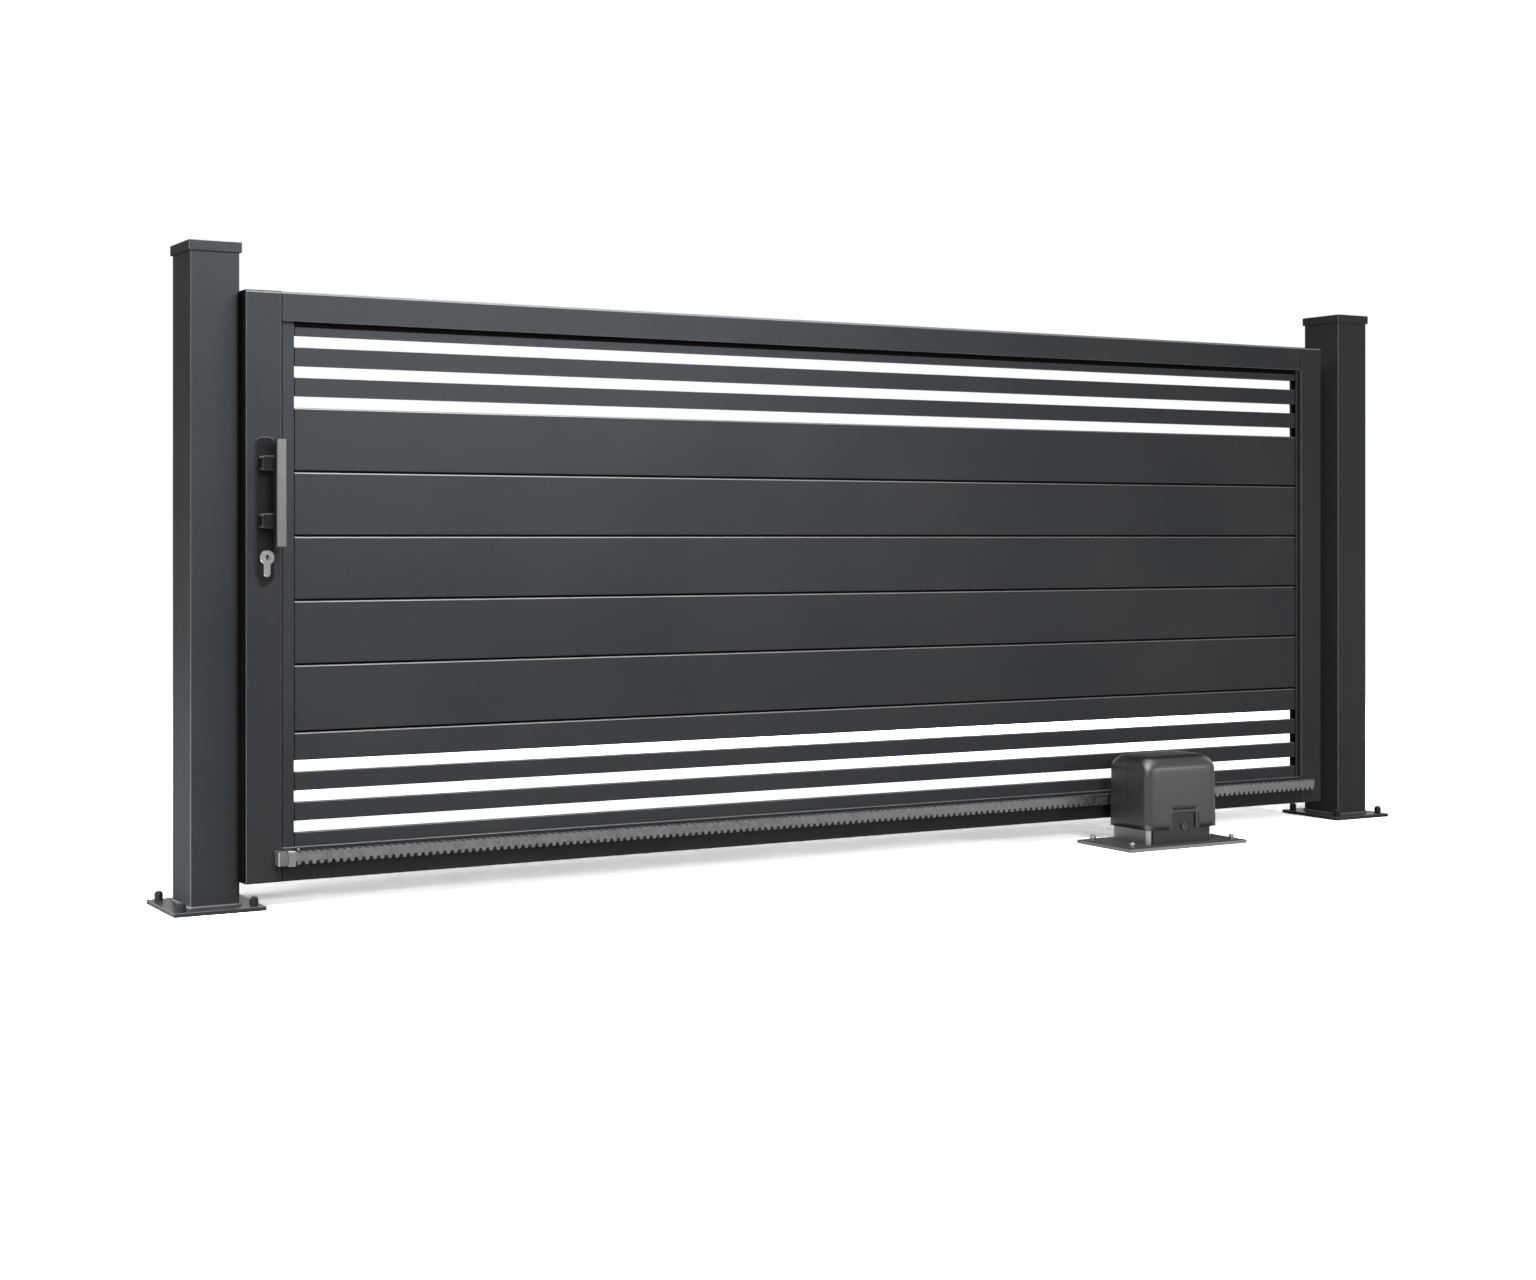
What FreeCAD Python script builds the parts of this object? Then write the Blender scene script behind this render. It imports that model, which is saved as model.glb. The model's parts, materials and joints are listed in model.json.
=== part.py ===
import FreeCAD, Part
import math
import os

# Sliding driveway gate: two posts of rectangular tube on bolted feet, an aluminium leaf that slides in
# front of them, a toothed rack along its bottom rail and the drive unit that moves it.
# Millimetres. Origin: centre of the left post's foot, on the ground. +X runs to the
# right post, +Z is up, and -Y is the side that the drive unit and the handle are on.

os.makedirs("parts", exist_ok=True)

# Posts, their feet and caps
leaf_short_of_post = 120.0
post_width = 118.0
post_depth = 150.0
post_wall = 3.0
post_corner = 3.0
post_total_height = 1577.0
foot_width = 220.0
foot_depth = 245.0
foot_thickness = 10.0
foot_corner = 3.0
plate_edge = 1.0
cap_overhang = 5.0
cap_height = 24.0
cap_thickness = 5.0
cap_edge = 2.0
seat_gap = 0.3

# Anchor bolts with domed nuts: large ones on the posts, small ones on the drive plate
bolt_inset = 24.0
post_bolt = {"radius": 6.0, "hole": 7.0, "washer": 11.0, "washer_height": 2.0,
             "flats": 18.0, "nut_height": 12.0, "dome": 8.8}
drive_bolt = {"radius": 5.0, "hole": 6.0, "washer": 8.5, "washer_height": 1.5,
              "flats": 14.0, "nut_height": 8.0, "dome": 6.8}

# Leaf frame
leaf_width = 3387.0
leaf_height = 1397.0
leaf_depth = 40.0
leaf_above_ground = 65.0
leaf_to_post_gap = 8.0
left_stile_width = 86.0
right_stile_width = 80.0
top_rail_height = 70.0
bottom_rail_height = 80.0
frame_wall = 2.5
track_wall = 3.0
track_slot = 14.0
frame_corner = 2.0
end_cap_thickness = 2.0
seal_thickness = 6.0
seal_inset = 1.0
seal_overhang = 2.0
seal_corner = 1.5

# Infill: slats and boards, held at both ends in U channels
left_channel_width = 34.0
right_channel_width = 12.0
channel_recess = 11.0
channel_depth = 27.0
channel_wall = 2.0
slat_end_gap = 1.0
slat_height = 44.0
edge_strip_height = 32.0
slat_gap = 28.0
slat_wall = 1.6
slat_corner = 1.5
slats_per_group = 2
equal_boards = 4
last_board_height = 160.0
narrow_board_height = 66.0
seam_bevel = 3.5
seam_height = 2.5
seam_depth = 4.0
tongue_width = 8.0
tongue_height = 5.0
groove_gap = 0.3

# Rack along the bottom rail
tooth_module = 6.0
pressure_angle = math.radians(20.0)
tooth_addendum = 4.0
tooth_root_gap = 0.5
rack_height = 30.0
rack_thickness = 22.0
rack_standoff = 8.0
rack_above_leaf_base = 42.0
rack_start = 91.0
rack_end_margin = 50.0
rack_section_count = 4
rack_notch_width = 6.0
rack_notch_depth = 2.0
spacer_radius = 7.0
spacers_per_section = 3
end_block_start = 69.0
end_block_proud = 2.0
end_block_corner = 2.0
strap_length = 18.0
strap_wall = 3.0
strap_start = 92.0

# Pinion and output shaft
pinion_teeth = 12
flank_backlash = 0.25
shaft_radius = 10.0
shaft_running_gap = 0.05
involute_steps = 4

# Drive unit
drive_plate_width = 428.0
drive_plate_depth = 243.0
drive_plate_thickness = 10.0
drive_plate_front = 251.0
drive_plate_shift = 4.0
tongue_left = 184.0
tongue_back = 29.0
drive_bolt_inset = 32.0
housing_to_leaf_end = 615.0
housing_width = 234.0
housing_depth = 168.0
housing_height = 48.0
housing_corner = 14.0
housing_to_rack = 12.0
gear_case_width = 120.0
gear_case_depth = 30.0
gear_case_above_shaft = 45.0
shaft_boss_radius = 24.0
shaft_boss_length = 4.0
front_panel_thickness = 6.0
hood_side_overhang = 15.0
hood_front_overhang = 8.0
hood_wall = 3.0
hood_top = 261.0
hood_skirt = 6.0
hood_corner = 28.0
hood_top_round = 26.0
hood_lean = 3.0
hood_lip = 8.0
hood_seam_from_back = 88.0
hood_seam_width = 1.6
hood_seam_depth = 1.2
hood_patch_width = 33.0
hood_patch_height = 23.0
hood_patch_from_back = 46.0
hood_patch_above = 4.0
hood_patch_depth = 1.0
notch_width = 108.0
notch_height = 55.0
notch_corner = 15.0
notch_offset = 4.0
notch_gap = 1.0
panel_rim_inset = 9.0
panel_rim_width = 3.0
panel_rim_height = 1.5
panel_rim_corner = 10.0
key_offset = 4.0
key_above_hood_base = 4.5
key_dish_radius = 24.0
key_dish_depth = 1.5
key_radius = 10.0
key_ring_wall = 2.5
key_depth = 4.0
key_slot_width = 2.5
key_slot_height = 9.0

# Roller carriages inside the bottom rail
carriage_from_pinion = 13.0
roller_gap = 1.5
stem_thickness = 8.0
stem_above_axle = 12.0
carriage_foot_width = 40.0
carriage_foot_length = 76.0
carriage_foot_thickness = 8.0
carriage_foot_behind_stem = 4.0
carriage_bolt_spacing = 44.0
carriage_bolt_head_radius = 8.0
carriage_bolt_head = 6.0
axle_radius = 6.0
roller_side_gap = 1.0

# Handle and lock on the left stile, measured from the leaf's left end
plate_left = 22.0
plate_right = 68.0
plate_bottom = 769.0
plate_top = 1116.0
plate_thickness = 5.0
plate_top_corner = 16.0
plate_bevel = 0.8
grip_left = 56.8
grip_width = 25.0
grip_depth = 20.0
grip_proud = 35.0
grip_bottom = 857.0
grip_top = 1111.0
grip_corner = 3.0
grip_end_bevel = 1.5
boss_height = 34.0
boss_width = 28.0
boss_under_grip = 9.0
boss_corner = 8.0
boss_bevel = 1.0
boss_heights = (918.0, 1054.0)
lock_centre_x = 49.0
lock_centre_z = 832.0
lock_radius = 17.5
lock_tail_width = 16.5
lock_tail_bottom = 786.0
lock_proud = 4.0
lock_bevel = 1.2
plug_radius = 8.5
plug_proud = 0.6
keyway_width = 2.4
keyway_height = 9.0

# Values that follow from the ones above
leaf_left = post_width / 2
leaf_right = leaf_left + leaf_width
leaf_back = -post_depth / 2 - leaf_to_post_gap
leaf_front = leaf_back - leaf_depth
leaf_middle = (leaf_front + leaf_back) / 2
leaf_bottom = leaf_above_ground
leaf_top = leaf_bottom + leaf_height
inner_left = leaf_left + left_stile_width
inner_right = leaf_right - right_stile_width
inner_bottom = leaf_bottom + bottom_rail_height
inner_top = leaf_top - top_rail_height
slat_front = leaf_front + channel_recess + channel_wall + seat_gap
slat_back = leaf_front + channel_recess + channel_depth - channel_wall - seat_gap
slat_left = inner_left + channel_wall + slat_end_gap
slat_right = inner_right - channel_wall - slat_end_gap
clear_passage = leaf_width + leaf_short_of_post
right_post_x = post_width + clear_passage
tooth_pitch = math.pi * tooth_module
pitch_radius = tooth_module * pinion_teeth / 2
rack_back = leaf_front - rack_standoff
rack_front = rack_back - rack_thickness
rack_bottom = leaf_bottom + rack_above_leaf_base
rack_top = rack_bottom + rack_height
pitch_line = rack_bottom + tooth_addendum
pinion_z = pitch_line - pitch_radius
housing_left = leaf_right - housing_to_leaf_end - housing_width
pinion_x = housing_left + housing_width / 2
housing_back = rack_front - housing_to_rack
housing_front = housing_back - housing_depth
housing_base = drive_plate_thickness
housing_top = housing_base + housing_height
pinion_tip_radius = pitch_radius + tooth_addendum


# Shape helpers. An outline is a list of (u, v, corner radius).

def rect(u0, u1, v0, v1, radius=0.0):
    return [(u0, v0, radius), (u1, v0, radius), (u1, v1, radius), (u0, v1, radius)]


def on_plane(axis, offset, u, v):
    if axis == "x":
        return FreeCAD.Vector(offset, u, v)
    if axis == "y":
        return FreeCAD.Vector(u, offset, v)
    return FreeCAD.Vector(u, v, offset)


def wire(outline, axis, offset):
    corners = [on_plane(axis, offset, u, v) for u, v, radius in outline]
    radii = [radius for u, v, radius in outline]
    count = len(corners)
    starts, ends, arcs = [], [], []
    for i, corner in enumerate(corners):
        if radii[i] <= 0:
            starts.append(corner)
            ends.append(corner)
            arcs.append(None)
            continue
        before = (corners[i - 1] - corner).normalize()
        after = (corners[(i + 1) % count] - corner).normalize()
        half = before.getAngle(after) / 2
        reach = radii[i] / math.tan(half)
        inward = (before + after).normalize()
        middle = corner + inward * (radii[i] / math.sin(half) - radii[i])
        starts.append(corner + before * reach)
        ends.append(corner + after * reach)
        arcs.append(Part.Arc(starts[-1], middle, ends[-1]).toShape())
    edges = []
    for i in range(count):
        if arcs[i]:
            edges.append(arcs[i])
        following = starts[(i + 1) % count]
        if ends[i].distanceToPoint(following) > 1e-6:
            edges.append(Part.LineSegment(ends[i], following).toShape())
    return Part.Wire(edges)


def prism(axis, start, end, outline, holes=()):
    wires = [wire(outline, axis, start)] + [wire(hole, axis, start) for hole in holes]
    face = Part.makeFace(wires, "Part::FaceMakerBullseye")
    step = on_plane(axis, end - start, 0.0, 0.0)
    return face.extrude(step)


def box(x0, x1, y0, y1, z0, z1):
    return prism("z", z0, z1, rect(x0, x1, y0, y1))


def rod(radius, start, end):
    return Part.makeCylinder(radius, (end - start).Length, start, end - start)


def inset(outline_rect, wall, radius):
    u0, v0 = outline_rect[0][:2]
    u1, v1 = outline_rect[2][:2]
    return rect(u0 + wall, u1 - wall, v0 + wall, v1 - wall, radius)


nodes = {}


def add(name, *solids):
    nodes[name] = solids[0] if len(solids) == 1 else Part.makeCompound(list(solids))


# Posts

def edges_at(shape, axis, level):
    return [e for e in shape.Edges if all(abs(getattr(v.Point, axis) - level) < 0.01 for v in e.Vertexes)]


def domed_nut(x, y, base, bolt):
    across = bolt["flats"] / 2 / math.cos(math.pi / 6)
    nut_base = base + bolt["washer_height"]
    nut_top = nut_base + bolt["nut_height"]
    hexagon = []
    for i in range(6):
        angle = math.radians(60 * i + 30)
        hexagon.append((x + across * math.cos(angle), y + across * math.sin(angle), 0.0))
    dome = Part.makeSphere(bolt["dome"], FreeCAD.Vector(x, y, nut_top), FreeCAD.Vector(0, 0, 1), 0, 90, 360)
    washer = rod(bolt["washer"], FreeCAD.Vector(x, y, base), FreeCAD.Vector(x, y, nut_base))
    stud = rod(bolt["radius"], FreeCAD.Vector(x, y, 0), FreeCAD.Vector(x, y, base))
    return washer.fuse([prism("z", nut_base, nut_top, hexagon), dome, stud]).removeSplitter()


def foot_plate(outline, thickness, places, hole_radius):
    plate = prism("z", 0.0, thickness, outline)
    plate = plate.makeChamfer(plate_edge, edges_at(plate, "z", thickness))
    for px, py in places:
        hole = rod(hole_radius, FreeCAD.Vector(px, py, -1), FreeCAD.Vector(px, py, thickness + 1))
        plate = plate.cut(hole)
    return plate


def post(side, x):
    across = post_width / 2
    deep = post_depth / 2
    outer = rect(x - across, x + across, -deep, deep, post_corner)
    tube = prism("z", foot_thickness, post_total_height - cap_thickness, outer, [inset(outer, post_wall, 0.0)])
    add(side + "_post", tube)

    bolt_x = foot_width / 2 - bolt_inset
    bolt_y = foot_depth / 2 - bolt_inset
    places = [(x + sx * bolt_x, sy * bolt_y) for sx in (-1, 1) for sy in (-1, 1)]
    add(side + "_base_plate",
        foot_plate(rect(x - foot_width / 2, x + foot_width / 2, -foot_depth / 2, foot_depth / 2, foot_corner),
                   foot_thickness, places, post_bolt["hole"]))
    post_bolts.extend(domed_nut(px, py, foot_thickness, post_bolt) for px, py in places)

    cap_across = across + cap_overhang
    cap_deep = deep + cap_overhang
    cap_base = post_total_height - cap_height
    cap = prism("z", cap_base, post_total_height,
                rect(x - cap_across, x + cap_across, -cap_deep, cap_deep, post_corner))
    cap = cap.makeFillet(cap_edge, edges_at(cap, "z", post_total_height))
    pocket_x = across + seat_gap
    pocket_y = deep + seat_gap
    pocket = box(x - pocket_x, x + pocket_x, -pocket_y, pocket_y,
                 cap_base - 1, post_total_height - cap_thickness)
    add(side + "_post_cap", cap.cut(pocket))


post_bolts = []
post("left", 0.0)
post("right", right_post_x)
add("post_anchor_bolts", *post_bolts)


# Leaf frame

def stile(name, x0, x1):
    outer = rect(x0, x1, leaf_front, leaf_back, frame_corner)
    hollow = [inset(outer, frame_wall, 0.0)]
    add(name, prism("z", leaf_bottom + end_cap_thickness, leaf_top - end_cap_thickness, outer, hollow))
    return [prism("z", leaf_bottom, leaf_bottom + end_cap_thickness, outer),
            prism("z", leaf_top - end_cap_thickness, leaf_top, outer)]


end_caps = stile("left_stile", leaf_left, inner_left) + stile("right_stile", inner_right, leaf_right)
add("stile_end_caps", *end_caps)

top_outer = rect(leaf_front, leaf_back, inner_top, leaf_top, frame_corner)
add("top_rail", prism("x", inner_left, inner_right, top_outer, [inset(top_outer, frame_wall, 0.0)]))

slot_front = leaf_middle - track_slot / 2
slot_back = leaf_middle + track_slot / 2
track_front = leaf_front + track_wall
track_back = leaf_back - track_wall
track_floor = leaf_bottom + track_wall
track_roof = inner_bottom - track_wall
bottom_outline = [
    (leaf_front, leaf_bottom, frame_corner), (slot_front, leaf_bottom, 0.0),
    (slot_front, track_floor, 0.0), (track_front, track_floor, 0.0),
    (track_front, track_roof, 0.0), (track_back, track_roof, 0.0),
    (track_back, track_floor, 0.0), (slot_back, track_floor, 0.0),
    (slot_back, leaf_bottom, 0.0), (leaf_back, leaf_bottom, frame_corner),
    (leaf_back, inner_bottom, frame_corner), (leaf_front, inner_bottom, frame_corner)]
add("bottom_rail", prism("x", inner_left, inner_right, bottom_outline))

seal_front = leaf_front + seal_inset
seal_back = leaf_back + seal_overhang
add("closing_edge_seal",
    prism("z", leaf_bottom + end_cap_thickness, leaf_top - end_cap_thickness,
          [(leaf_left - seal_thickness, seal_front, seal_corner), (leaf_left, seal_front, 0.0),
           (leaf_left, seal_back, 0.0), (leaf_left - seal_thickness, seal_back, seal_corner)]))


# Infill

def channel(name, web_x, inward, width):
    front = leaf_front + channel_recess
    back = front + channel_depth
    lip = web_x + inward * width
    web = web_x + inward * channel_wall
    outline = [
        (web_x, front, 0.0), (lip, front, 0.0), (lip, front + channel_wall, 0.0),
        (web, front + channel_wall, 0.0), (web, back - channel_wall, 0.0),
        (lip, back - channel_wall, 0.0), (lip, back, 0.0), (web_x, back, 0.0)]
    add(name, prism("z", inner_bottom, inner_top, outline))


channel("left_slat_channel", inner_left, 1, left_channel_width)
channel("right_slat_channel", inner_right, -1, right_channel_width)


def slat(bottom, height):
    outer = rect(slat_front, slat_back, bottom, bottom + height, slat_corner)
    return prism("x", slat_left, slat_right, outer, [inset(outer, slat_wall, 0.0)])


def board(name, bottom, top, tongue, groove):
    middle = (slat_front + slat_back) / 2
    half_tongue = tongue_width / 2
    half_groove = half_tongue + groove_gap
    groove_top = bottom + tongue_height + groove_gap
    outline = [(slat_front, bottom + seam_height, 0.0), (slat_front + seam_depth, bottom + seam_height, 0.0),
               (slat_front + seam_depth, bottom, 0.0)]
    if groove:
        outline += [(middle - half_groove, bottom, 0.0), (middle - half_groove, groove_top, 0.0),
                    (middle + half_groove, groove_top, 0.0), (middle + half_groove, bottom, 0.0)]
    outline += [(slat_back, bottom, 0.0), (slat_back, top, 0.0)]
    if tongue:
        outline += [(middle + half_tongue, top, 0.0), (middle + half_tongue, top + tongue_height, 0.0),
                    (middle - half_tongue, top + tongue_height, 0.0), (middle - half_tongue, top, 0.0)]
    outline += [(slat_front + seam_bevel, top, 0.0), (slat_front, top - seam_bevel, 0.0)]
    hollow = rect(slat_front + slat_wall, slat_back - slat_wall,
                  groove_top + slat_wall, top - seam_bevel - slat_wall)
    add(name, prism("x", slat_left, slat_right, outline, [hollow]))


group_pitch = slat_gap + slat_height
strip_base = inner_top - edge_strip_height
strip_top = inner_bottom + edge_strip_height
add("header_strip", slat(strip_base, edge_strip_height))
add("sill_strip", slat(inner_bottom, edge_strip_height))
add("upper_slats", *[slat(strip_base - (i + 1) * group_pitch, slat_height) for i in range(slats_per_group)])
add("lower_slats", *[slat(strip_top + slat_gap + i * group_pitch, slat_height) for i in range(slats_per_group)])
level = strip_base - slats_per_group * group_pitch - slat_gap
floor_level = strip_top + slats_per_group * group_pitch + slat_gap

field = level - floor_level - last_board_height - narrow_board_height
board_heights = [field / equal_boards] * equal_boards + [last_board_height]
for number, height in enumerate(board_heights, 1):
    board("board_%d" % number, level - height, level, number > 1, True)
    level -= height
board("narrow_board", floor_level, level, True, False)


# Rack: sections of straight teeth, pointing down, with small notches along the top edge

def rack_section(name, x0):
    half = tooth_pitch / 4
    tip_half = half - tooth_addendum * math.tan(pressure_angle)
    root = pitch_line + tooth_addendum + tooth_root_gap
    root_half = half + (root - pitch_line) * math.tan(pressure_angle)
    length = rack_section_teeth * tooth_pitch
    outline = [(x0, root, 0.0)]
    for i in range(rack_section_teeth):
        middle = x0 + (i + 0.5) * tooth_pitch
        outline += [(middle - root_half, root, 0.0), (middle - tip_half, rack_bottom, 0.0),
                    (middle + tip_half, rack_bottom, 0.0), (middle + root_half, root, 0.0)]
    outline += [(x0 + length, root, 0.0), (x0 + length, rack_top, 0.0)]
    notch_floor = rack_top - rack_notch_depth
    for i in range(rack_section_teeth - 1, -1, -1):
        middle = x0 + (i + 0.5) * tooth_pitch
        left, right = middle - rack_notch_width / 2, middle + rack_notch_width / 2
        outline += [(right, rack_top, 0.0), (right, notch_floor, 0.0),
                    (left, notch_floor, 0.0), (left, rack_top, 0.0)]
    outline += [(x0, rack_top, 0.0)]
    add(name, prism("y", rack_front, rack_back, outline))


rack_teeth = math.floor((leaf_width - rack_start - rack_end_margin) / tooth_pitch)
rack_section_teeth = rack_teeth // rack_section_count
section_length = rack_section_teeth * tooth_pitch
rack_left = leaf_left + rack_start
spacers = []
spacer_z = (pitch_line + tooth_addendum + rack_top) / 2
for number in range(rack_section_count):
    section_start = rack_left + number * section_length
    rack_section("rack_section_%d" % (number + 1), section_start)
    for i in range(spacers_per_section):
        spacer_x = section_start + (i + 0.5) * section_length / spacers_per_section
        spacers.append(rod(spacer_radius, FreeCAD.Vector(spacer_x, rack_back, spacer_z),
                           FreeCAD.Vector(spacer_x, leaf_front, spacer_z)))
add("rack_spacers", *spacers)

block_left = leaf_left + end_block_start
block_front = rack_front - end_block_proud
block_outline = [(block_left, block_front, end_block_corner), (rack_left, block_front, 0.0),
                 (rack_left, leaf_front, 0.0), (block_left, leaf_front, 0.0)]
add("rack_end_block", prism("z", rack_bottom - 1.0, rack_top + end_block_proud, block_outline))

strap_left = leaf_left + strap_start
strap_face = rack_front - seat_gap - strap_wall
strap_low = rack_bottom - seat_gap - strap_wall
strap_high = rack_top + seat_gap + strap_wall
strap_outline = [
    (leaf_front, strap_low, 0.0), (leaf_front, rack_bottom - seat_gap, 0.0),
    (rack_front - seat_gap, rack_bottom - seat_gap, 0.0), (rack_front - seat_gap, rack_top + seat_gap, 0.0),
    (leaf_front, rack_top + seat_gap, 0.0), (leaf_front, strap_high, 0.0),
    (strap_face, strap_high, strap_wall), (strap_face, strap_low, strap_wall)]
add("rack_end_clamp", prism("x", strap_left, strap_left + strap_length, strap_outline))


# Pinion: involute teeth in mesh with the rack at rest

def involute(radius):
    base = pitch_radius * math.cos(pressure_angle)
    if radius <= base:
        return 0.0
    along = math.sqrt((radius / base) ** 2 - 1)
    return along - math.atan(along)


def pinion_outline(phase):
    base = pitch_radius * math.cos(pressure_angle)
    root = pitch_radius - tooth_addendum - 2 * tooth_root_gap
    half_tooth = math.pi / (2 * pinion_teeth) - flank_backlash / pitch_radius
    at_pitch = involute(pitch_radius)
    radii = [root] + [base + (pinion_tip_radius - base) * i / involute_steps for i in range(involute_steps + 1)]
    points = []
    for tooth in range(pinion_teeth):
        centre = phase + 2 * math.pi * tooth / pinion_teeth
        for side in (-1, 1):
            flank = radii if side < 0 else radii[::-1]
            for radius in flank:
                angle = centre + side * (half_tooth + at_pitch - involute(radius))
                points.append((pinion_x + radius * math.sin(angle), pinion_z + radius * math.cos(angle), 0.0))
    return points


teeth_from_start = (pinion_x - rack_left) / tooth_pitch
tooth_phase = (math.floor(teeth_from_start) + 1 - teeth_from_start) * 2 * math.pi / pinion_teeth
pinion = prism("y", rack_front, rack_back, pinion_outline(tooth_phase))
shaft_end = housing_back - gear_case_depth + seat_gap
pinion_bore = rod(shaft_radius, FreeCAD.Vector(pinion_x, rack_front - 1, pinion_z),
                  FreeCAD.Vector(pinion_x, rack_back + 1, pinion_z))
add("drive_pinion", pinion.cut(pinion_bore))
add("output_shaft", rod(shaft_radius, FreeCAD.Vector(pinion_x, shaft_end, pinion_z),
                        FreeCAD.Vector(pinion_x, rack_back, pinion_z)))


# Drive unit

housing_right = housing_left + housing_width
housing_overhang = drive_plate_width / 2 - housing_width / 2
plate_x0 = housing_left - housing_overhang - drive_plate_shift
plate_x1 = plate_x0 + drive_plate_width
plate_y0 = leaf_front - drive_plate_front
plate_y1 = plate_y0 + drive_plate_depth
drive_plate_x = (plate_x0 + plate_x1) / 2
drive_outline = [
    (plate_x0, plate_y0, foot_corner), (plate_x1, plate_y0, foot_corner),
    (plate_x1, leaf_front + tongue_back, foot_corner),
    (plate_x0 + tongue_left, leaf_front + tongue_back, foot_corner),
    (plate_x0 + tongue_left, plate_y1, 0.0), (plate_x0, plate_y1, foot_corner)]
front_places = [(drive_plate_x + side * (drive_plate_width / 2 - drive_bolt_inset), plate_y0 + drive_bolt_inset)
                for side in (-1, 1)]
back_places = [(drive_plate_x + side * (drive_plate_width / 2 - drive_bolt_inset), housing_back)
               for side in (-1, 1)]
drive_places = front_places + back_places
add("drive_base_plate",
    foot_plate(drive_outline, drive_plate_thickness, drive_places, drive_bolt["hole"]))
add("drive_anchor_bolts", *[domed_nut(px, py, drive_plate_thickness, drive_bolt) for px, py in drive_places])

case_top = pinion_z + gear_case_above_shaft
body_front = housing_front + front_panel_thickness
housing = prism("z", housing_base, housing_top,
                rect(housing_left, housing_right, body_front, housing_back, housing_corner))
case_left = pinion_x - gear_case_width / 2
case_right = pinion_x + gear_case_width / 2
gear_case = prism("y", housing_back - gear_case_depth, housing_back,
                  [(case_left, housing_base, 0.0), (case_right, housing_base, 0.0),
                   (case_right, case_top, housing_corner), (case_left, case_top, housing_corner)])
boss = rod(shaft_boss_radius, FreeCAD.Vector(pinion_x, housing_back - 1, pinion_z),
           FreeCAD.Vector(pinion_x, housing_back + shaft_boss_length, pinion_z))
shaft_bore = rod(shaft_radius + shaft_running_gap,
                 FreeCAD.Vector(pinion_x, housing_back - gear_case_depth, pinion_z),
                 FreeCAD.Vector(pinion_x, housing_back + shaft_boss_length + 1, pinion_z))
add("drive_housing", housing.fuse([gear_case, boss]).cut(shaft_bore).removeSplitter())


def hood_block(x0, x1, y0, y1, z0, z1, corner, top_round):
    lean = hood_lean
    low = wire(rect(x0, x1, y0, y1, corner), "z", z0)
    high = wire(rect(x0 + lean, x1 - lean, y0 + lean, y1, corner), "z", z1)
    block = Part.makeLoft([low, high], True, True)
    top_edges = [e for e in block.Edges if min(v.Z for v in e.Vertexes) > z1 - 0.01]
    return block.makeFillet(top_round, top_edges)


hood_left = housing_left - hood_side_overhang
hood_right = housing_right + hood_side_overhang
hood_front = housing_front - hood_front_overhang
hood_back = housing_back + hood_wall
hood_base = housing_top - hood_skirt
hood = hood_block(hood_left, hood_right, hood_front, hood_back, hood_base, hood_top,
                  hood_corner, hood_top_round)
hollow = hood_block(hood_left + hood_wall, hood_right - hood_wall, hood_front + hood_wall, housing_back,
                    hood_base - 1, hood_top - hood_wall, hood_corner - hood_wall, hood_top_round - hood_wall)
hood = hood.cut(hollow)

lip_front = body_front + 1
lip = box(hood_left + hood_wall / 2, hood_right - hood_wall / 2, lip_front, housing_back + hood_wall / 2,
          housing_top, housing_top + hood_wall)
lip = lip.common(hood_block(hood_left, hood_right, hood_front, hood_back, hood_base, hood_top,
                            hood_corner, hood_top_round))
lip_hole = box(housing_left + hood_lip, housing_right - hood_lip, lip_front + hood_lip,
               housing_back - hood_lip, housing_top - 1, housing_top + hood_wall + 1)
hood = hood.fuse(lip.cut(lip_hole))

notch_x = pinion_x + notch_offset
notch_left = notch_x - notch_width / 2
notch_right = notch_x + notch_width / 2
notch_top = hood_base + notch_height
front_notch = prism("y", hood_front - 1, hood_front + hood_corner,
                    [(notch_left, hood_base - 1, 0.0), (notch_right, hood_base - 1, 0.0),
                     (notch_right, notch_top, notch_corner), (notch_left, notch_top, notch_corner)])
front_notch = front_notch.common(box(notch_left, notch_right, hood_front - 1, body_front,
                                     hood_base - 1, notch_top))
rear_notch = box(case_left - seat_gap, case_right + seat_gap, housing_back - gear_case_depth - seat_gap,
                 hood_back + 1, hood_base - 1, case_top + seat_gap)
seam_y = hood_back - hood_seam_from_back
seam_core = hood_block(hood_left + hood_seam_depth, hood_right - hood_seam_depth, hood_front + hood_seam_depth,
                       hood_back, hood_base - 1, hood_top - hood_seam_depth,
                       hood_corner - hood_seam_depth, hood_top_round - hood_seam_depth)
seam_band = box(hood_left - 1, hood_right + 1, seam_y, seam_y + hood_seam_width, hood_base - 1, hood_top + 1)
patch_y1 = hood_back - hood_patch_from_back
patch_z0 = hood_base + hood_patch_above
patch = box(hood_left - 1, hood_left + hood_patch_depth + hood_lean * patch_z0 / hood_top,
            patch_y1 - hood_patch_width, patch_y1, patch_z0, patch_z0 + hood_patch_height)
hood = hood.cut(front_notch).cut(rear_notch).cut(seam_band.cut(seam_core)).cut(patch)
add("drive_hood", hood.removeSplitter())

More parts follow.
